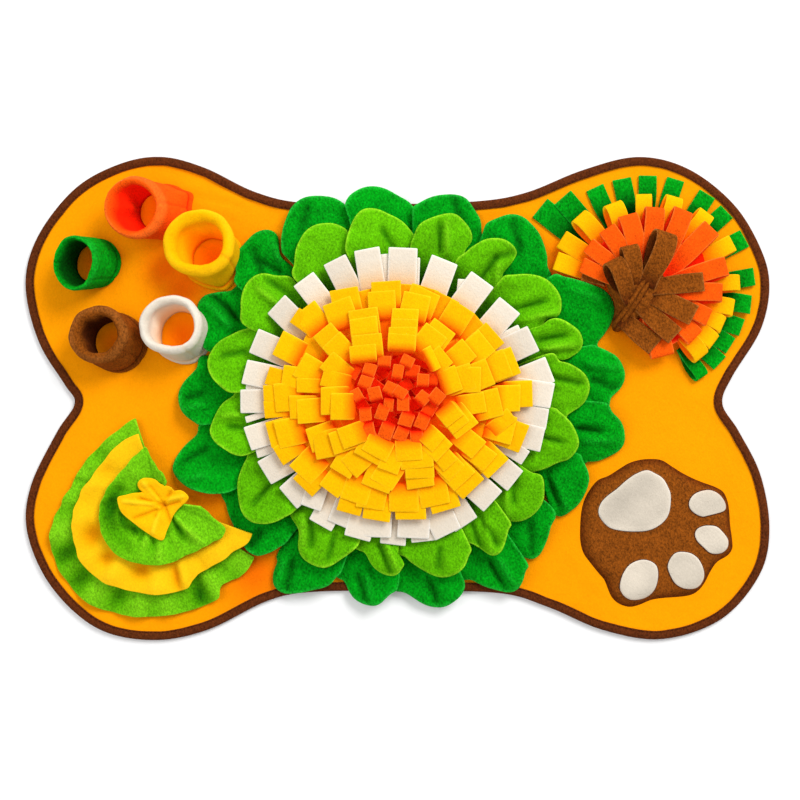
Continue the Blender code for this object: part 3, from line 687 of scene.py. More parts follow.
def addStrand(bm, tip, heading, width, length, chance, looks, toneAndShading=0.0, deeper=0.0):
    # tip is the middle of its outer end; length is how far it reaches out from where it bends
    out, side = polar(heading, 1.0), polar(heading + 90, 1.0)
    corner = tip - out * length + up * looks["fall"]
    root = Vector((corner.x, corner.y, 0.0)) * looks["rootIn"] + up * (seat + strandShape["rootAbove"])
    roll = chance.uniform(-1, 1) * looks["roll"]
    skew = chance.uniform(-1, 1) * looks["skew"]
    sag = chance.uniform(0.0, 1.0) * looks["sag"]
    cup = looks["cup"] * chance.uniform(0.3, 1.0)

    def place(u, v):
        share = max(0.0, v)
        point = mix(corner, root, -v) if v < 0 else mix(corner, tip, v)
        beside = (u - 0.5) * width * mix(strandShape["rootWidth"], 1.0, ease(*strandShape["widens"], v))
        point = point + side * beside + up * (beside * roll * share)
        point += out * (beside * skew * share)
        point.z += sag * (share - share ** 3) * 2.0 - cup * (2 * u - 1) ** 2 * share
        rim = ease(strandShape["paleFrom"], 1.0, max(abs(2 * u - 1), v))
        # painted shade darkens it towards its root, and all over for strands lying under others
        return point + flower, rim, max(deeper, 1 - ease(*looks["deep"], v))

    addGrid(bm, strandShape["across"], strandShape["along"], place, toneAndShading)


def fringeCut(count, width, rise, out):
    # a fringe's flat cut: a strip folded along its length, slit to strands from both edges
    return ((rise + out) * mm, count * width * mm)


whiteStrands = dict(
    # direction, how far out its tip is, width, turn, and 1 if it lies under its neighbours
    strands=(
        (88, 144, 27, 0, 0), (87, 135, 28, 1, 1), (102, 146, 24, -3, 0), (100, 139, 29, -6, 1),
        (115, 146, 23, 2, 0), (129, 146, 23, -1, 0), (143, 148, 24, -8, 0), (159, 150, 24, -2, 0),
        (171, 151, 23, -3, 0), (174, 148, 19, 2, 1), (-178, 153, 22, -1, 0), (-171, 150, 6, 9, 1),
        (-164, 152, 23, 1, 0), (-160, 148, 20, -3, 1), (-150, 150, 25, -1, 0), (-137, 146, 26, -1, 0),
        (-128, 138, 20, 18, 0), (-121, 147, 24, 2, 1), (-114, 138, 26, 2, 0), (-106, 144, 25, 1, 0),
        (-99, 139, 29, 6, 0), (-92, 145, 24, -2, 1), (-84, 139, 30, -10, 0), (-80, 144, 23, -6, 1),
        (-70, 143, 27, 5, 0), (-62, 142, 25, 5, 1), (-48, 138, 26, 6, 0), (-36, 141, 24, -4, 0),
        (-26, 138, 15, -6, 0), (-17, 147, 23, 3, 0), (-9, 147, 20, -2, 0), (0, 150, 24, -9, 0),
        (10, 150, 25, 12, 0), (23, 143, 26, 2, 0), (25, 135, 26, 1, 1), (39, 140, 25, 10, 0),
        (54, 140, 26, -1, 0), (61, 130, 9, 23, 1), (71, 140, 26, -1, 0),
    ),
    height=37.5, lower=3.2, uneven=0.7, length=44, wider=1.05,
    # laid flat: a strand's width, its rise and its reach
    cut=(22, 39, 42),
    looks=dict(roll=0.07, skew=0.05, sag=1.2, cup=0.5, fall=-0.5, rootIn=0.94, deep=(0.15, 0.7)),
)
yellowStrands = dict(
    # direction, how far out its tip is, width and turn; the later ones lie on the earlier ones
    strands=(
        (96, 111, 29, -4), (99, 102, 27, -6), (75, 106, 30, -7), (79, 100, 27, -2), (54, 107, 27, 4),
        (33, 112, 27, 6), (32, 101, 27, 8), (17, 119, 28, 5), (17, 111, 28, 3), (1, 130, 26, 1),
        (-1, 118, 26, 3), (-9, 111, 15, 48), (-19, 129, 29, -2), (-17, 117, 28, 1), (-36, 120, 28, -8),
        (-36, 110, 22, -1), (-34, 94, 22, -5), (-51, 116, 29, 5), (-52, 105, 28, 5), (-67, 120, 29, -8),
        (-71, 112, 29, -9), (-84, 120, 30, -3), (-87, 112, 29, -2), (-100, 122, 27, 3),
        (-104, 112, 28, 3), (-113, 123, 24, 6), (-113, 111, 27, 4), (-136, 128, 26, 3),
        (-141, 122, 28, 7), (-126, 114, 23, -1), (-163, 131, 26, -1), (-153, 130, 20, 7),
        (-162, 123, 28, -5), (179, 130, 16, 3), (-174, 130, 17, -1), (-179, 119, 28, 3),
        (171, 128, 18, -6), (170, 113, 21, 2), (156, 127, 26, -4), (137, 124, 26, -10),
        (142, 127, 17, 3), (117, 116, 28, -14), (123, 109, 29, -13), (112, 90, 29, -14),
        (114, 82, 27, -18), (117, 66, 29, -21), (125, 59, 26, -30), (85, 84, 26, 1), (85, 74, 26, 2),
        (86, 66, 27, 2), (86, 59, 27, 1), (56, 81, 26, -3), (59, 73, 26, -7), (46, 52, 24, -18),
        (41, 61, 22, 1), (34, 83, 23, 7), (17, 61, 25, 3), (15, 75, 26, 2), (15, 92, 27, 7),
        (11, 81, 25, -11), (-3, 99, 28, 17), (-4, 84, 20, 12), (-27, 75, 27, -24), (-27, 68, 21, -26),
        (-24, 60, 21, -26), (-51, 71, 24, 7), (-50, 61, 20, 7), (-53, 94, 23, 7), (-53, 84, 18, 2),
        (-80, 63, 26, -6), (-75, 72, 32, -11), (-75, 82, 28, -12), (-76, 91, 27, -7), (-112, 62, 27, -5),
        (-117, 68, 27, -3), (-98, 73, 21, -13), (-101, 87, 25, -22), (-104, 92, 29, -8),
        (-124, 85, 24, -12), (-127, 93, 23, 5), (-153, 96, 24, -7), (-149, 94, 27, -20),
        (-144, 79, 22, -17), (-143, 69, 21, -17), (-174, 105, 23, -6), (-171, 98, 24, -4),
        (-176, 74, 27, -1), (-171, 65, 26, -9), (162, 100, 26, -13), (174, 98, 14, 4),
        (153, 77, 21, -13), (166, 75, 17, 0), (139, 97, 23, -9), (140, 84, 24, -7),
    ),
    # strands under those, which fill the gaps: how many, how far out, how much lower, how deep in shade
    fill=((24, 107, 5, 0.3), (22, 92, 9, 0.8), (18, 76, 10, 0.9), (14, 60, 10, 1.0)), fillWidth=27,
    fillStray=dict(turn=0.3, reach=4, drop=3),
    height=58.5, heightAt=55, slope=0.2, uneven=0.3, stackTurn=12, stackStep=0.55, length=27, tuftEdge=43,
    cut=(25, 46, 27),
    looks=dict(roll=0.07, skew=0.06, sag=1.0, cup=0.6, fall=1.0, rootIn=0.93, deep=(-0.05, 0.55)),
)
# the tuft in the middle: narrow strips whose square ends bend over on top
tuft = dict(
    # where its square end is, its width, its length and its turn
    strands=(
        (-11, 40, 11, 10, -8), (-13, 33, 12, 10, -3), (9, 33, 12, 11, -25), (0, 23, 10, 14, -10),
        (14, 24, 13, 12, -10), (24, 15, 11, 12, -3), (34, 16, 8, 12, -3), (-27, 25, 12, 12, -20),
        (-31, 13, 12, 12, -22), (-7, 7, 12, 12, -30), (2, 3, 12, 11, -35), (-22, 2, 12, 13, 15),
        (-39, 1, 9, 12, 30), (24, -2, 12, 12, -42), (37, -1, 13, 14, -40), (-9, -9, 9, 12, -6),
        (5, -8, 11, 13, 0), (-31, -18, 11, 12, 5), (-28, -34, 12, 14, 13), (-15, -16, 11, 14, -20),
        (-11, -34, 13, 14, -20), (3, -37, 12, 12, -25), (18, -42, 12, 14, 3), (8, -23, 13, 12, -20),
        (23, -25, 12, 13, -25), (30, -13, 12, 12, -30), (-43, 24, 13, 13, -30),
    ),
    # which of them lie lower, by how much, and how deep in shade
    low=(0, 4, 6, 25, 26), lowBy=5, lowShade=0.5,
    height=58.5, slope=0.05, uneven=0.8, grow=0.6, cut=(11.5, 49, 11.5),
    # ends under those, which fill the gaps: how many, how far out, their turn, width and length
    fill=44, reach=46, fillTurn=137.5, fillSize=(11, 12),
    fillHeight=46, fillUneven=(-4, 2), fillSlope=0.08, fillShade=0.9,
    looks=dict(roll=0.16, skew=0.12, sag=0.6, cup=0.6, fall=1.2, rootIn=0.8, deep=(-0.02, 0.2)),
)


def makeWhiteStrands():
    bm = newCloth()
    chance = random.Random(3)
    shape = whiteStrands
    for angle, reach, width, turn, under in shape["strands"]:
        height = shape["height"] - shape["lower"] * under
        height += chance.uniform(-shape["uneven"], shape["uneven"])
        addStrand(bm, polar(angle, reach, height), angle + turn, width * shape["wider"], shape["length"],
                  chance, shape["looks"], chance.uniform(-1, 1))
    fringe = addPiece("white_fringe", bm, "white_fleece", ["fringe_white"], strandShape["thickness"], 1)
    fringeCut(len(shape["strands"]), *shape["cut"])


def makeYellowStrands():
    bm = newCloth()
    chance = random.Random(8)
    shape = yellowStrands

    def heightAt(reach):
        return shape["height"] - shape["slope"] * (reach - shape["heightAt"])

    stray = shape["fillStray"]
    for count, reach, lower, shade in shape["fill"]:
        for i in range(count):
            angle = 360 / count * (i + chance.uniform(-stray["turn"], stray["turn"]))
            out = reach + chance.uniform(-stray["reach"], stray["reach"])
            tip = polar(angle, out, heightAt(reach) - lower - chance.uniform(0, stray["drop"]))
            length = min(shape["length"], reach - shape["tuftEdge"])
            addStrand(bm, tip, angle, shape["fillWidth"], length, chance, shape["looks"],
                      chance.uniform(-1, 1), shade)
    stack = 0
    below = (0, 0)
    for angle, reach, width, turn in shape["strands"]:
        stack = stack + 1 if abs(angle - below[0]) < shape["stackTurn"] and reach < below[1] else 0
        below = (angle, reach)
        height = heightAt(reach) + stack * shape["stackStep"]
        height += chance.uniform(-shape["uneven"], shape["uneven"])
        length = min(shape["length"], reach - shape["tuftEdge"])
        addStrand(bm, polar(angle, reach, height), angle + turn, width, length, chance, shape["looks"],
                  chance.uniform(-1, 1))
    fringe = addPiece("yellow_fringe", bm, "yellow_fleece", ["fringe_yellow"], strandShape["thickness"], 1)
    strands = len(shape["strands"]) + sum(count for count, *_ in shape["fill"])
    fringeCut(strands, *shape["cut"])


def makeTuft():
    bm = newCloth()
    chance = random.Random(5)
    shape = tuft

    def addEnd(place, width, length, turn, height, deeper):
        middle = Vector((*place, 0.0))
        heading = turn + 90
        if polar(heading, 1.0).dot(middle) < 0:
            heading -= 180
        tip = middle + polar(heading, length / 2) + up * height
        addStrand(bm, tip, heading, width + shape["grow"], length, chance, shape["looks"],
                  chance.uniform(-1, 1), deeper)

    for i in range(shape["fill"]):
        out = shape["reach"] * math.sqrt((i + 0.5) / shape["fill"])
        place = polar(i * shape["fillTurn"], out).xy
        turn = chance.uniform(-90, 90)
        height = shape["fillHeight"] + chance.uniform(*shape["fillUneven"]) - out * shape["fillSlope"]
        addEnd(place, *shape["fillSize"], turn, height, shape["fillShade"])
    for i, (x, y, width, length, turn) in enumerate(shape["strands"]):
        height = shape["height"] - shape["slope"] * math.hypot(x, y)
        height += chance.uniform(-shape["uneven"], shape["uneven"])
        low = i in shape["low"]
        addEnd((x, y), width, length, turn, height - shape["lowBy"] * low, shape["lowShade"] * low)
    fringe = addPiece("orange_tuft", bm, "orange_fleece", ["fringe_centre"], strandShape["thickness"], 1)
    strands = len(shape["strands"]) + shape["fill"]
    fringeCut(strands, *shape["cut"])


makeWhiteStrands()
makeYellowStrands()
makeTuft()
print("flower's strands")


# the fan: strips and loops that spread from a gathered seam

fan = dict(
    centre=Vector((245.0, 106.0, 0.0)), thickness=2.5,
    # direction, reach, width, height at the root and at the tip, loop height, how far its upper
    # side is shifted sideways
    green=((141, 133, 24, 1.0, 2.5, 0, 0), (131, 124, 22, 1.5, 5.0, 0, 0), (115, 115, 19, 0.8, 1.5, 0, 0),
           (101, 115, 19, 0.8, 2.0, 0, 0), (88, 116, 18, 0.8, 2.5, 0, 0), (74, 117, 18, 0.8, 1.5, 0, 0),
           (57, 116, 18, 0.8, 4.0, 0, 0), (44, 115, 18, 0.8, 3.0, 0, 0), (28, 114, 19, 0.8, 2.0, 0, 0),
           (8, 111, 18, 0.8, 3.5, 0, 0), (-7, 107, 19, 0.8, 5.0, 0, 0), (-20, 104, 18, 0.8, 3.0, 0, 0),
           (-32, 102, 18, 0.8, 3.0, 0, 0), (-43, 104, 18, 0.8, 2.5, 0, 0)),
    greenLoop=((-56, 102, 14, 1.4, 2.0, 5.0, 6),),
    yellow=((161, 93, 19, 3.5, 7, 4, 1), (148, 97, 19, 4, 8, 4, 0), (132, 99, 18, 4, 8, 8, -7),
            (111, 92, 18, 4, 8, 9, -7), (91, 95, 16, 4, 8, 8, 3), (73, 97, 17, 4, 8, 8, -5),
            (52, 98, 17, 4, 8, 8, -4), (29, 98, 17, 4, 8, 7, 2), (5, 93, 16, 4, 8, 7, 3),
            (-11, 88, 17, 4, 8, 7, 4), (-24, 83, 17, 4, 8, 7, 4), (-37, 84, 17, 4, 8, 7, 4),
            (-50, 85, 17, 4, 8, 8, 6)),
    orange=((158, 68, 15, 13, 14, 5, 2), (142, 72, 16, 14, 15, 6, 3), (123, 72, 18, 15, 16, 7, 0),
            (105, 76, 19, 15, 17, 8, -4), (85, 81, 19, 15, 17, 9, -4), (66, 86, 19, 15, 17, 9, -4),
            (44, 88, 20, 15, 17, 6, 2), (17, 81, 19, 15, 17, 7, 4), (-2, 73, 18, 15, 17, 7, 4),
            (-24, 66, 18, 14, 16, 5, 2), (-44, 66, 20, 14, 15, 4, 2), (-76, 66, 24, 13, 13, 4, 2)),
    # from, to, width, height at the root and at the tip, loop height, shift
    brown=(((206, 115), (182, 121), 11, 12, 13, 0, 0), ((229, 94), (209, 134), 18, 20, 24, 12, -9),
           ((234, 108), (225, 148), 17, 21, 26, 9, -5), ((243, 109), (260, 161), 21, 22, 28, 13, -10),
           ((245, 108), (299, 114), 19, 23, 27, 0, 0), ((246, 103), (290, 81), 21, 22, 25, 0, 0),
           ((236, 95), (272, 61), 20, 20, 23, 0, 0), ((221, 79), (253, 51), 20, 16, 20, 0, 0)),
    # the cloth gathered round the seam: its outline; the seam: from, to, half its gap, its height
    apron=((213.5, 71), (215, 80), (215.5, 89), (213, 98), (208, 107), (206, 117), (213, 123),
           (226, 124), (238.1, 125.2), (248.7, 129.4), (259.3, 123.2), (260, 108.4), (252, 97.8),
           (244, 85), (232, 73), (221, 68), (216, 67)),
    apronHeights=(8.0, 27.0), apronSlope=0.22, droop=5.0, apronRings=26, flatWidth=0.1,
    seam=((246, 119), (216, 70)), seamGap=2.2, seamRise=2.0,
    # how high the gathers are, how close together, and how far out from the seam they end
    gathers=0.91, gatherTurns=46, gatherReach=13,
    # how far from the centre each row is rooted, and between which shares of a strip its shade fades
    roots=dict(green=66, yellow=42, orange=8),
    fades=dict(green=(0.3, 0.95), yellow=(0.3, 0.95), orange=(0.15, 0.7), brown=(0.0, 0.35)),
    # plain strips under the orange loops, coloured all over with painted shade that shows between the
    # loops: how much shorter, width, height
    plain=(7, 20, 12),
)
# one strip or loop
band = dict(
    across=(0.0, 0.06, 0.3, 0.7, 0.94, 1.0), stripSteps=12, loopSteps=30,
    # how much it may tilt and sway sideways; how far a loop opens up
    tilt=0.1, sway=2.0, opening=0.496, gather=1.3, gatherTurns=16, dent=1.2, paleFrom=0.92,
)


def addBand(bm, start, end, width, heights, loop, shift, chance, narrow, fade):
    # one strip from start to end; a loop comes back above itself
    run = (end - start).normalized()
    beside = Vector((-run.y, run.x, 0.0))
    toneAndShading = chance.uniform(-1, 1)
    tilt = chance.uniform(-band["tilt"], band["tilt"])
    sway = chance.uniform(-band["sway"], band["sway"])
    count = band["loopSteps"] if loop else band["stripSteps"]
    along = [i / count for i in range(count + 1)]
    if not loop:
        along.insert(count, 0.98)

    def place(u, v):
        out, above = v, 0.0
        if loop:
            out = (1 - math.cos(2 * math.pi * v)) / 2
            above = 0.5 - band["opening"] * math.sin(2 * math.pi * v) * out ** 0.35
            above = mix(0.35, above, ease(0.0, 0.5, out))
        side = (u - 0.5) * width * mix(narrow, 1.0, ease(0.1, 0.6, out))
        sideways = side + shift * (above - 0.5) * out + sway * out * (1 - out) * 2
        point = mix(start, end, out) + beside * sideways
        point.z = seat + mix(*heights, out ** 0.6) + loop * above + side * tilt * out
        point.z -= band["dent"] * bell(u - 0.5, 0.35) * (1 - out)
        gathers = math.cos(u * band["gatherTurns"] + toneAndShading * 3) * (1 - ease(0.05, 0.5, out))
        point.z += band["gather"] * gathers
        edge = abs(2 * u - 1) if loop else max(abs(2 * u - 1), 2 * v - 1)
        # painted shade in the lower half of a loop and towards each strip's root
        under = 0.9 * (1 - ease(0.1, 0.42, above)) if loop else 0.0
        return point, ease(band["paleFrom"], 1.0, edge) * (1 - under), max(under, 1 - ease(*fade, out))

    addGrid(bm, band["across"], along, place, toneAndShading)
    return (end - start).length * width * (2 if loop else 1) * mm * mm


def addApron(bm):
    # the cloth gathered round the seam
    loop = evenLoop(fan["apron"], 120)
    start, end = (Vector((*point, 0)) for point in fan["seam"])
    length = (end - start).length
    run = (end - start).normalized()
    low, high = fan["apronHeights"]

    def place(i, depth):
        nearest = min(1.0, max(0.0, (loop[i] - start).dot(run) / length))
        point = mix(loop[i], mix(start, end, 0.1 + 0.8 * nearest), depth * 0.97)
        across = (point - start).cross(run).z
        along = (point - start).dot(run) / length
        near = bell(max(0.0, abs(along - 0.5) - 0.5), 0.08)
        ridge = bell(abs(across) - fan["seamGap"], 1.1) * near
        pleat = math.cos(along * fan["gatherTurns"] + across * 0.10 + 1.5 * lumps(point, 9.0))
        pleat *= bell(across, fan["gatherReach"]) * ease(0.0, 3.0, abs(across) - fan["seamGap"])
        height = seat + mix(high, low, ease(0.35, 1.15, along)) - fan["apronSlope"] * abs(across)
        height += fan["seamRise"] * ridge + fan["gathers"] * pleat + lumps(point, 12.0, 4.0)
        point.z = height - fan["droop"] * (1 - ease(0.0, 0.3, depth))
        # painted shade along the seam's gap and in the pleats' troughs; painted highlight on the pleats'
        # ridges
        shade = bell(across, 1.1) * near - 0.3 * pleat + 0.9 * bell(abs(across) - 4.6, 0.9) * near
        return point, min(0.7, max(0.0, -shade)), max(0.0, min(1.0, shade))

    addRings(bm, loop, fan["apronRings"], place)
    return loopArea(loop) * mm * mm


def makeFanRow(name, seed, slot, below):
    bm = newCloth()
    chance = random.Random(seed)
    surface = 0.0
    if name == "brown":
        for start, end, width, low, high, loop, shift in fan[name]:
            surface += addBand(bm, Vector((*start, 0)), Vector((*end, 0)), width, (low, high), loop, shift,
                               chance, 0.85, fan["fades"][name])
        surface += addApron(bm)
    else:
        centre, root = fan["centre"], fan["roots"][name]
        if name == "orange":
            shorter, width, height = fan["plain"]
            for (angle, reach, *_), (nextAngle, nextReach, *_) in zip(fan[name], fan[name][1:]):
                middle = (angle + nextAngle) / 2
                # the fade (1.0, 2.0) puts painted shade over the whole strip
                surface += addBand(bm, centre + polar(middle, root),
                                   centre + polar(middle, min(reach, nextReach) - shorter),
                                   width, (height, height), 0, 0, chance, 0.5, (1.0, 2.0))
        for angle, reach, width, low, high, loop, shift in (*fan[name], *fan.get(name + "Loop", ())):
            surface += addBand(bm, centre + polar(angle, root), centre + polar(angle, reach),
                               width, (low, high), loop, shift, chance, 0.75, fan["fades"][name])
    piece = addPiece(f"{name}_fan", bm, slot, [f"fan_{name}"], fan["thickness"], 1)
    surface / fan["flatWidth"]


for row in (("green", 4, "leaf_green", "mat"), ("yellow", 6, "yellow_fleece", "mat"),
            ("orange", 9, "orange_fleece", "mat"), ("brown", 2, "brown_fleece", "orange_fan")):
    makeFanRow(*row)
print("fan")


# treat cups: sewn tubes with a rolled rim

# foot's middle and radius, rim's middle and half sizes, height, wall, roll, tilt and where it tilts to,
# where its seam is
cupShapes = dict(
    orange=((-231.5, 185.5), 26.5, (-257.5, 186), (28, 30), 36, 6.5, 2.0, 4, 183, 8),
    green=((-299, 135), 23.5, (-314, 131), (21.5, 27), 37, 4.5, 0.4, 8, 186, -40),
    yellow=((-182.5, 138), 28, (-194, 153), (33.5, 32), 38, 7.5, 2.5, 3, 120, -30),
    brown=((-279, 55.5), 28, (-292.5, 62.5), (27.5, 26.5), 36, 7.0, 2.0, 6, 150, -35),
    white=((-213, 63), 28, (-221, 73), (29, 28), 38, 5.8, 2.0, 3, 90, -60),
)
# the wall's section, from its outer foot over the rim to its inner foot: share of the wall's
# thickness inwards, share of the roll outwards, share of the height
cupSection = (
    (-0.25, 0.0, 0.02), (-0.3, 0.0, 0.06), (-0.05, 0.0, 0.11), (0.12, 0.0, 0.13), (-0.02, 0.0, 0.17),
    (-0.08, 0.0, 0.28), (-0.06, 0.0, 0.42), (0.0, 0.0, 0.56), (0.02, 0.2, 0.68), (0.0, 0.5, 0.78),
    (0.0, 0.8, 0.87), (0.15, 0.6, 0.94), (0.38, 0.2, 0.985), (0.62, -0.2, 0.99), (0.86, -0.6, 0.95),
    (1.0, -0.8, 0.88), (1.05, -0.5, 0.79), (1.0, -0.1, 0.70), (0.95, 0.0, 0.58), (0.9, 0.0, 0.42),
    (0.9, 0.0, 0.26), (0.9, 0.0, 0.12), (0.95, 0.0, 0.02),
)
# folds of the inner wall: direction, width in degrees, how far in, at which share of the height
cupFolds = dict(
    orange=((176, 22, 13.0, 0.55), (215, 16, 3.0, 0.6)), green=((150, 30, 3.0, 0.5),),
    yellow=((95, 30, 4.0, 0.4), (200, 30, 3.0, 0.4)), brown=((200, 22, 6.0, 0.6), (110, 25, 4.0, 0.6)),
    white=((175, 24, 4.0, 0.4),),
)
# inside: between which shares of the height its painted shade fades, how strong that painted shade is, and
# how much lighter its bottom is painted (darker below 0)
cupLooks = dict(orange=(0.8, 1.0, 1.0, 0.5), green=(0.7, 1.0, 1.0, -4.0), yellow=(0.1, 1.0, 0.35, 3.5),
                brown=(0.6, 1.0, 1.0, 0.0), white=(0.0, 0.9, 0.8, 4.5))
# where a cup's wall is thinner: direction, width in degrees, by what share
cupThin = dict(orange=(185, 70, 0.6), green=(200, 80, 0.35), white=(330, 50, 0.3))
# the loose corner of a cup's foot: direction, width in degrees, how far out
cupCorners = dict(orange=((33, 12, 6.0),), yellow=((-70, 16, 2.5),))
# for every cup: how uneven its wall, its roll and its rim's height are, how deep and wide its seam is,
# how dark the painted shade in its seam, its groove over the foot, its inner foot and its folds is,
# and how pale the painted highlight on its rolled rim is
cups = dict(
    steps=96, rollStarts=(0.72, 0.9), wallLumps=(2.0, 8.0), rollLumps=(0.9, 3.0), rimLumps=(1.8, 9.0),
    seam=0.9, seamOutwards=0.4, seamWidth=0.05, seamShade=0.35,
    grooveAt=0.13, grooveWidth=0.02, grooveShade=0.9, footFade=(0.03, 0.14), footShade=9.0, foldShade=0.5,
    paleRoll=0.55,
)


def makeCup(colour, slot):
    base, radius, top, rimSize, height, wall, roll, tilt, towards, seam = cupShapes[colour]
    lean = Vector(top) - Vector(base)
    bm = newCloth()
    verts = []
    for inner, outer, share in cupSection:
        verts.append(bm.verts.new((radius - inner * wall + outer * roll, 0.0, share)))
    edges = [bm.edges.new(pair) for pair in zip(verts, verts[1:])]
    bmesh.ops.spin(bm, geom=verts + edges, cent=(0, 0, 0), axis=up, angle=2 * math.pi,
                   steps=cups["steps"], use_merge=True, use_duplicate=False)
    axis = polar(towards + 90, 1.0)
    seed = radius + height
    fadeLow, fadeHigh, depth, dark = cupLooks[colour]

    def uneven(ring, kind, own=0.0):
        amount, size = cups[kind]
        return amount * lumps(ring, size, seed + own)

    for vert in bm.verts:
        share = vert.co.z
        angle = math.atan2(vert.co.y, vert.co.x)
        degrees = math.degrees(angle)
        out = math.hypot(vert.co.x, vert.co.y) - radius
        isRoll = ease(*cups["rollStarts"], share)
        ring = Vector((math.cos(angle), math.sin(angle), share * 1.3)) * 10
        out += uneven(ring, "wallLumps") + isRoll * uneven(ring, "rollLumps")
        pinch = bell(math.remainder(angle - math.radians(seam), 2 * math.pi), cups["seamWidth"])
        out -= cups["seam"] * pinch * (1 if out > -wall / 2 else -cups["seamOutwards"])
        inside = ease(0.5, 0.8, -out / wall)
        at, width, thinner = cupThin.get(colour, (0, 1, 0))
        out *= 1 - thinner * bell(turnBetween(degrees, at), width) * (out < 0)
        for at, width, reach in cupCorners.get(colour, ()):
            reach *= (1 - ease(0.1, 0.6, share)) * (1 - inside)
            out += reach * bell(turnBetween(degrees, at), width)
        for at, width, reach, level in cupFolds[colour]:
            out -= reach * bell(turnBetween(degrees, at), width) * bell(share - level, 0.3) * inside
        arm = Vector((
            (mix(radius, rimSize[0], share) + out) * math.cos(angle),
            (mix(radius, rimSize[1], share) + out) * math.sin(angle), 0.0))
        arm.rotate(Matrix.Rotation(math.radians(tilt) * share, 3, axis))
        dip = isRoll * uneven(ring, "rimLumps", 4)
        centre = Vector((lean[0] * share, lean[1] * share, seat + height * share + dip))
        # painted shade inside the cup, in its seam, in the groove over its foot and round its inner foot;
        # painted light at the bottom inside, or painted shade where that amount is below 0
        groove = bell(share - cups["grooveAt"], cups["grooveWidth"]) * (1 - inside)
        foot = inside * (1 - ease(*cups["footFade"], share))
        deep = max(depth * inside * (1 - ease(fadeLow, fadeHigh, share)), cups["grooveShade"] * groove,
                   cups["seamShade"] * pinch, foot)
        toneAndShading = dark * inside * (1 - ease(0.5, 0.9, share)) - cups["footShade"] * foot
        # painted shade: the first fold is darker below its edge
        at, width, reach, level = cupFolds[colour][0]
        below = 1 - ease(level - 0.1, level + 0.1, share)
        toneAndShading -= cups["foldShade"] * reach * bell(turnBetween(degrees, at), width) * inside * below
        # painted highlight on the rolled rim
        rim = cups["paleRoll"] * isRoll * (1 - inside)
        setPoint(bm, vert, Vector((*base, 0)) + centre + arm, rim, deep, toneAndShading)
    piece = addPiece(f"{colour}_cup", bm, slot, [f"cup_{colour}"], 0.0, 1)


for colour, slot in (("orange", "orange_fleece"), ("green", "leaf_green"), ("yellow", "yellow_fleece"),
                     ("brown", "brown_fleece"), ("white", "white_fleece")):
    makeCup(colour, slot)
print("cups")


# ruffles: half rounds gathered at one point, under a small bow

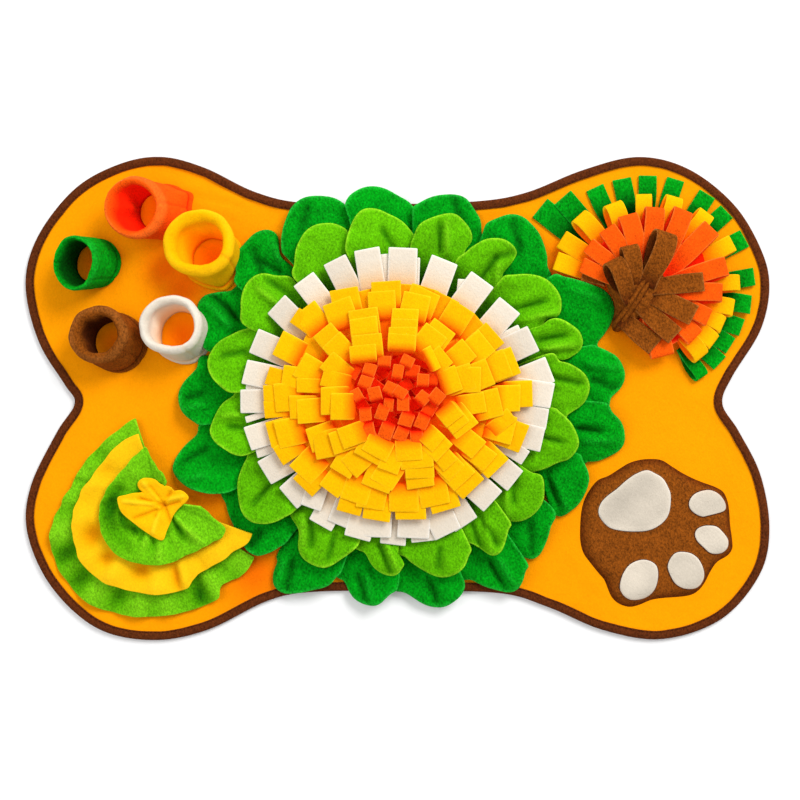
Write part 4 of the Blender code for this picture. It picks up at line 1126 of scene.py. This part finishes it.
gather = Vector((-234.5, -101.5, 0.0))
ruffles = dict(
    # heights at the middle and the edge; reach by direction; folds: direction, width in degrees, depth
    # (a ridge is below 0), where along the reach, how long
    lower=dict(
        slot="petal_green", heights=(0.3, 5.0), inner=12,
        reach=(
            (107, 86), (124, 82), (138, 82), (153, 85), (170, 90), (181, 99), (190, 109), (199, 117),
            (206, 121), (214, 124), (219, 124), (227, 126), (234, 125), (240, 124), (248, 121),
            (255, 119), (264, 116), (274, 114), (284, 113), (292, 113), (299, 113), (302, 112),
            (303, 106), (306, 103), (310, 105), (316, 109), (321, 110), (327, 109), (329, 108),
        ),
        folds=((129, 6, -2.0, 1.0, 0.3), (143, 6, 3.0, 1.0, 0.3), (161, 6, -2.0, 1.0, 0.3),
               (166, 2, 2.0, 1.0, 0.3), (177, 5, -1.5, 0.95, 0.3), (186, 4, 2.0, 0.9, 0.3),
               (197, 6, -3.0, 0.9, 0.3), (209, 5, 5.0, 0.9, 0.25), (224, 6, 4.5, 0.95, 0.25),
               (234, 5, -3.0, 0.9, 0.3), (246, 5, 4.0, 0.9, 0.25), (259, 5, -2.5, 0.95, 0.3),
               (266, 3, 2.0, 0.95, 0.2), (273, 4, -2.0, 0.95, 0.3), (283, 4, 1.5, 0.9, 0.2),
               (293, 4, 6.0, 0.9, 0.35), (302, 4, -3.0, 0.95, 0.3), (312, 4, 2.5, 0.9, 0.3),
               (324, 4, -1.5, 1.0, 0.3)),
    ),
    middle=dict(
        slot="yellow_fleece", heights=(3.5, 15.0), inner=12,
        reach=(
            (107, 70), (117, 70), (130, 69), (143, 68), (160, 71), (175, 79), (188, 86), (198, 91),
            (207, 94), (216, 98), (225, 98), (235, 97), (245, 94), (258, 92), (267, 92), (280, 91),
            (289, 90), (291, 87), (293, 84), (299, 81), (307, 82), (323, 87), (337, 97), (341, 97),
        ),
        folds=((150, 8, 3.0, 0.85, 0.15), (166, 5, -1.5, 0.95, 0.2), (180, 6, 1.5, 0.95, 0.15),
               (193, 5, -1.5, 0.95, 0.2), (206, 8, 5.5, 0.80, 0.14), (216, 4, -1.5, 0.95, 0.2),
               (227, 5, 5.0, 0.78, 0.12), (236, 5, -3.0, 0.85, 0.2), (255, 7, 5.5, 0.74, 0.14),
               (268, 5, -2.5, 0.9, 0.2), (282, 3.5, 4.5, 0.8, 0.25), (288, 3, -3.0, 0.85, 0.25),
               (303, 4, 2.0, 0.9, 0.2), (318, 6, -1.0, 0.9, 0.2)),
    ),
    upper=dict(
        slot="petal_green", heights=(9.0, 22.0), inner=10,
        reach=(
            (66, 22), (88, 31), (100, 43), (101, 56), (116, 51), (133, 47), (150, 48), (170, 53),
            (185, 58), (198, 61), (210, 64), (221, 65), (231, 66), (241, 65), (254, 63), (268, 62),
            (282, 61), (297, 59), (312, 62), (323, 66), (331, 72), (338, 72), (346, 53), (355, 42),
        ),
        folds=((163, 7, 2.5, 0.7, 0.3), (190, 20, 5.0, 0.78, 0.2), (207, 7, -3.0, 0.62, 0.08),
               (224, 9, 4.5, 0.5, 0.13), (240, 4, -1.5, 0.6, 0.2), (252, 4, -3.5, 0.62, 0.2),
               (263, 5, 5.0, 0.55, 0.2), (272, 4, -3.5, 0.8, 0.25), (286, 5, 2.0, 0.7, 0.25),
               (303, 7, 5.5, 0.48, 0.26), (317, 4, -5.5, 0.55, 0.4), (130, 6, -1.5, 0.8, 0.3)),
    ),
    # parts in shade: direction, width in degrees, where along the reach, how long, how deep
    hollows=dict(
        upper=((183, 22, 0.78, 0.15, 1.0), (206, 16, 0.57, 0.07, 1.0), (205, 40, 0.75, 0.16, 0.45),
               (232, 9, 0.48, 0.07, 0.9), (243, 4, 0.5, 0.12, 0.6), (306, 5, 0.42, 0.2, 0.8),
               (205, 60, 0.2, 0.2, 0.8)),
        middle=((206, 7, 0.74, 0.10, 0.5), (228, 5, 0.72, 0.08, 0.45), (256, 6, 0.72, 0.08, 0.5),
                (283, 3, 0.82, 0.12, 0.6)),
        lower=((292, 4, 0.88, 0.10, 0.9), (209, 4, 0.88, 0.10, 0.6), (224, 4, 0.86, 0.10, 0.5),
               (246, 4, 0.84, 0.08, 0.4)),
    ),
    thickness=2.4, above=1.6, climb=0.8, columns=130, rows=30,
    # gathers near the bow, lumps of the outer cloth, and how far and from where its edge drops
    gather=1.0, gatherTurns=11, lump=1.2, lumpSize=18.0, edgeDrop=1.5, edgeFrom=0.9, paleFrom=0.965,
    shading=0.05, ridgeShine=1.2, paler=dict(lower=0.52, middle=0.70, upper=0.50),
    # how much of a painted shade is the painted shade colour, and how much darker the painted shade makes
    # it
    shadeLooks=dict(petal_green=(1.0, -4.0), yellow_fleece=(0.45, -5.0)),
)
# the bow's outline and creases, from the gather: from, to, and 1 for a ridge or -1 for a trough
bow = dict(
    outline=(
        (-39.4, 4.9), (-38.4, -3), (-34.4, -11.8), (-22.6, -21.6), (-10.8, -30.5), (3.9, -37.9),
        (7.9, -29.5), (13.8, -14.8), (17.7, -8.9), (22.6, -3.9), (29.9, 3.4), (26.6, 8.9),
        (20.7, 11.8), (14.8, 10.8), (11.8, 14.8), (2, 17.7), (-2, 21.6), (-7.9, 23.6), (-14.8, 23.6),
        (-19.7, 19.7), (-19.7, 14.8), (-15.7, 9.8), (-24.6, 8.9), (-32.5, 6.9),
    ),
    creases=((-23, -16, -2, -8, -1), (5, -3, -3, -14, -1), (4, -2, -9, 15, -1), (6, 0, 13, 11, -1),
             (7, -4, 20, 0, -1), (6, -5, 11, -19, -1), (2, -3, -18, 3, -1), (1, -6, -5, -30, 1),
             (0, 2, -14, 19, 1), (-4, -2, -33, 1, 1), (8, 2, 24, 6, 1)),
    middle=(5.0, -3.0), rings=24, ringReach=0.97, thickness=2.2, height=17.2,
    # how it climbs outwards from its knot, and how high the knot, its lumps and its creases are
    slope=0.22, flatTo=6, knot=1.6, lump=1.2, lumpSize=9.0, edgeDrop=1.0, crease=2.2, creaseWidth=2.0,
    knotShade=0.25, creaseShade=0.35, darker=1.4, paler=0.4,
)


def clothLook(slot, rim, shade, darker=1.0):
    # a point's pale edge and painted highlight, its painted shade colour and its painted darkening, from
    # how far it lies in shade
    deep, dark = ruffles["shadeLooks"][slot]
    shade = max(0.0, min(1.0, shade))
    return min(1.0, max(0.0, rim)), deep * shade, dark * darker * shade


def makeRuffle(name):
    common, shape = ruffles, ruffles[name]
    first, last = shape["reach"][0][0], shape["reach"][-1][0]
    low, high = shape["heights"]
    flat = seat + common["above"]

    def place(u, v):
        angle = mix(first, last, u)
        reach = readTable(shape["reach"], angle)
        height = flat + mix(low, high, v ** common["climb"])
        shade = 0.0
        for at, width, along, length, amount in common["hollows"][name]:
            shade = max(shade, amount * bell(turnBetween(angle, at), width) * bell(v - along, length))
        for at, width, depth, along, length in shape["folds"]:
            fold = depth * bell(turnBetween(angle, at), width) * bell(v - along, length)
            height -= fold
            shade += common["shading"] * fold
        height += common["gather"] * (1 - v) * math.cos(math.radians(angle * common["gatherTurns"]))
        point = gather + polar(angle, mix(shape["inner"], reach, v))
        height += common["lump"] * v * lumps(point, common["lumpSize"], high)
        height -= common["edgeDrop"] * ease(common["edgeFrom"], 1.0, v)
        point.z = max(flat, height)
        edge = max(2 * v - 1, abs(2 * u - 1))
        # painted highlight on the folds' ridges, over the ruffle's paler colour
        paler = common["paler"][name] - common["ridgeShine"] * shade
        return point, *clothLook(shape["slot"], max(ease(common["paleFrom"], 1.0, edge), paler), shade)

    bm = newCloth()
    addGrid(bm, lines(common["columns"], 0.008), lines(common["rows"], 0.015), place)
    piece = addPiece(f"{name}_ruffle", bm, shape["slot"], [f"ruffle_{name}"], common["thickness"], 1)
    usual = sum(reach for _, reach in shape["reach"]) / len(shape["reach"]) * mm
    area = math.radians(last - first) / 2 * usual ** 2
    usual * 1.05
    area * 1.1 / usual


def makeBow():
    loop = evenLoop(bow["outline"], 110)
    middle = Vector((*bow["middle"], 0.0))

    def place(i, depth):
        share = 1 - depth * bow["ringReach"]
        point = mix(middle, loop[i], share)
        height = seat + bow["height"] + bow["slope"] * max(0.0, (point - middle).length - bow["flatTo"])
        shade = bow["knotShade"] * bell(share, 0.12)
        for x1, y1, x2, y2, way in bow["creases"]:
            fold = way * bell(fromLine(point, (x1, y1), (x2, y2)), bow["creaseWidth"])
            height += bow["crease"] * fold
            shade -= bow["creaseShade"] * fold
        height += bow["knot"] * bell(share, 0.3) + bow["lump"] * lumps(point, bow["lumpSize"], 2.0)
        point.z = height - bow["edgeDrop"] * ease(0.85, 1.0, share)
        # pale cut edge, and painted highlight on the creases' ridges
        rim = max(ease(0.94, 1.0, share), bow["paler"] - 2 * shade)
        return gather + point, *clothLook("yellow_fleece", rim, shade, bow["darker"])

    bm = newCloth()
    addRings(bm, loop, bow["rings"], place)
    piece = addPiece("bow_cloth", bm, "yellow_fleece", ["bow"], bow["thickness"], 1)


for name in ("lower", "middle", "upper"):
    makeRuffle(name)
makeBow()
print("ruffles")


# the paw: filled cloth with flat pads sewn on

pawShape = dict(
    outline=(
        (251, -60), (241, -61), (231, -64), (221, -70), (210, -77), (200, -81), (192, -90),
        (186, -101), (183, -113), (182, -126), (182, -141), (185, -154), (192, -164), (200, -174),
        (206, -181), (210, -191), (214, -199), (221, -205), (231, -208), (241, -206), (253, -201),
        (266, -199), (281, -198), (293, -196), (301, -191), (307, -183), (312, -173), (319, -163),
        (329, -157), (334, -150), (334, -141), (332, -126), (331, -111), (329, -101), (325, -93),
        (317, -88), (306, -84), (296, -80), (284, -74), (273, -67), (263, -61),
    ),
    centre=(258, -134), rings=30, ringReach=0.97, height=7.0, shoulder=16.0, fullness=2.2,
    # the seam round it: how far under it turns, and how dark and wide the painted shade along it is
    tuckIn=0.985, sink=0.2, seamShade=0.75, seamWidth=5.0,
    lump=0.7, lumpSize=22.0, hollow=0.9, hollowWidth=7.0,
    padRings=14, padReach=0.95, padLump=0.35, padLumpSize=12.0, padEdgeDrop=0.5, padTone=-3.0,
    # a pad and the backing under it, coloured all over with painted shade so that it shows as a dark shadow
    # round the pad: how much wider than the pad, its height over the paw, its thickness
    layers=dict(backing=(1.3, 0.3, 0.8), pad=(0.0, 0.9, 1.4)),
    pads=dict(
        palm=(
            (247, -71), (255, -74), (263, -79), (268, -87), (271, -96), (270, -111), (266, -120),
            (258, -127), (248, -131), (235, -132), (221, -131), (210, -128), (202, -120), (199, -112),
            (202, -103), (209, -96), (217, -90), (226, -82), (236, -75),
        ),
        toe_1=(
            (308, -91), (316, -93), (322, -98), (326, -105), (325, -111), (316, -114), (308, -116),
            (302, -117), (295, -114), (290, -109), (289, -103), (292, -97), (298, -93),
        ),
        toe_2=(
            (308, -126), (316, -127), (322, -132), (328, -140), (328, -147), (324, -152), (318, -154),
            (310, -153), (303, -147), (297, -141), (295, -135), (297, -130), (302, -127),
        ),
        toe_3=(
            (283, -152), (292, -154), (299, -160), (304, -171), (304, -180), (299, -187), (292, -189),
            (283, -188), (275, -183), (270, -174), (268, -166), (271, -158), (276, -153),
        ),
        toe_4=(
            (246, -160), (254, -163), (258, -169), (258, -180), (254, -191), (246, -198), (234, -200),
            (226, -197), (221, -190), (221, -182), (224, -173), (230, -165), (238, -161),
        ),
    ),
    # soft hollows in the filled cloth: from, to
    hollows=(((225, -146), (242, -160)), ((262, -136), (300, -128)), ((262, -158), (268, -196)),
             ((222, -66), (205, -92))),
)
pawLoop = smoothLoop(pawShape["outline"], 4)


def pawHeight(point):
    flat = Vector((point.x, point.y, 0))
    share = min(1.0, toEdge(flat, pawLoop) / pawShape["shoulder"])
    height = seat + pawShape["height"] * (1 - (1 - share) ** pawShape["fullness"])
    for start, end in pawShape["hollows"]:
        height -= pawShape["hollow"] * share * bell(fromLine(flat, start, end), pawShape["hollowWidth"])
    return height + pawShape["lump"] * share * lumps(flat, pawShape["lumpSize"], 6.0)


def makePaw():
    centre = Vector((*pawShape["centre"], 0))
    bm = newCloth()

    def top(i, depth):
        point = mix(pawLoop[i], centre, depth ** 1.4 * pawShape["ringReach"])
        point.z = pawHeight(point)
        # painted shade along the paw's edge
        seam = bell(toEdge(point * Vector((1, 1, 0)), pawLoop), pawShape["seamWidth"])
        return point, 0.0, pawShape["seamShade"] * seam

    addRings(bm, pawLoop, pawShape["rings"], top)
    edges = [edge for edge in bm.edges if edge.is_boundary]
    floor = bmesh.ops.extrude_edge_only(bm, edges=edges)["geom"]
    under = [item for item in floor if isinstance(item, bmesh.types.BMVert)]
    for vert in under:
        vert.co.z = (seat - pawShape["sink"]) * mm
        vert.co.xy = mix(Vector(pawShape["centre"]) * mm, vert.co.xy, pawShape["tuckIn"])
    bmesh.ops.contextual_create(bm, geom=[e for e in bm.edges if e.is_boundary])
    paw = addPiece("paw_cloth", bm, "brown_fleece", ["paw"], 0.0, 1)


def makePad(name):
    shape = pawShape
    loop = smoothLoop(shape["pads"][name], 5)
    arrows = inwards(loop)
    centre = sum(loop, Vector()) / len(loop)
    size = [max(point[k] for point in loop) - min(point[k] for point in loop) for k in (0, 1)]
    for part, slot, nodes in (("backing", "brown_fleece", []), ("pad", "white_fleece", [f"pad_{name}"])):
        wider, lift, thickness = shape["layers"][part]

        def place(i, depth):
            share = 1 - depth * shape["padReach"]
            point = mix(centre, loop[i] - arrows[i] * wider, share)
            point.z = pawHeight(point) + lift + shape["padLump"] * lumps(point, shape["padLumpSize"], 1.0)
            point.z -= shape["padEdgeDrop"] * ease(0.92, 1.0, share)
            rim = ease(0.93, 1.0, share)
            # the backing is painted shade all over
            if part == "backing":
                return point, rim, 1.0, 0.0
            uneven = 0.8 + 0.9 * lumps(point, 26.0, 4.0) - 0.5 * ease(0.8, 1.0, share)
            return point, rim, 0.0, shape["padTone"] * uneven

        bm = newCloth()
        addRings(bm, loop, shape["padRings"], place)
        piece = addPiece(f"{name}_{part}", bm, slot, nodes, thickness, 1)
        size[0] * mm
        size[1] * mm
        0.78 * size[0] * size[1] * mm * mm


makePaw()
for name in pawShape["pads"]:
    makePad(name)
print("paw")


# floor, light and camera

studio = dict(
    floor=2.4, floorColour=(250, 250, 250), sky=0.58,
    cameraPlace=(2.5, -1.5, 1250.0), lens=56.25, sensor=36.0,
    # place, size, strength
    lamps=(((1680, 2100, 2400), 1.9, 104.0), ((-1400, 400, 2000), 2.0, 16.0)),
)


def makeStudio():
    bm = bmesh.new()
    bmesh.ops.create_grid(bm, x_segments=1, y_segments=1, size=studio["floor"])
    mesh = bpy.data.meshes.new("floor")
    bm.to_mesh(mesh)
    bm.free()
    material = bpy.data.materials.new("floor_look")
    material.use_nodes = True
    shader = material.node_tree.nodes["Principled BSDF"]
    shader.inputs["Base Color"].default_value = screenColour(studio["floorColour"])
    shader.inputs["Roughness"].default_value = 0.9
    mesh.materials.append(material)
    floor = bpy.data.objects.new("floor", mesh)
    floor.location.z = -0.0001
    bpy.context.scene.collection.objects.link(floor)

    world = bpy.data.worlds.new("studio")
    world.use_nodes = True
    world.node_tree.nodes["Background"].inputs["Color"].default_value = (1, 1, 1, 1)
    world.node_tree.nodes["Background"].inputs["Strength"].default_value = studio["sky"]
    bpy.context.scene.world = world
    for number, (place, size, strength) in enumerate(studio["lamps"], 1):
        lamp = bpy.data.lights.new(f"lamp_{number}", "AREA")
        lamp.shape = "DISK"
        lamp.size = size
        lamp.energy = strength
        holder = bpy.data.objects.new(f"lamp_{number}", lamp)
        holder.location = Vector(place) * mm
        holder.rotation_euler = Vector(place).to_track_quat("Z", "Y").to_euler()
        bpy.context.scene.collection.objects.link(holder)

    eye = bpy.data.cameras.new("camera")
    eye.lens = studio["lens"]
    eye.sensor_width = studio["sensor"]
    camera = bpy.data.objects.new("camera", eye)
    camera.location = Vector(studio["cameraPlace"]) * mm
    bpy.context.scene.collection.objects.link(camera)
    bpy.context.scene.camera = camera
    bpy.context.scene.view_settings.view_transform = "Standard"


makeStudio()
print("studio")
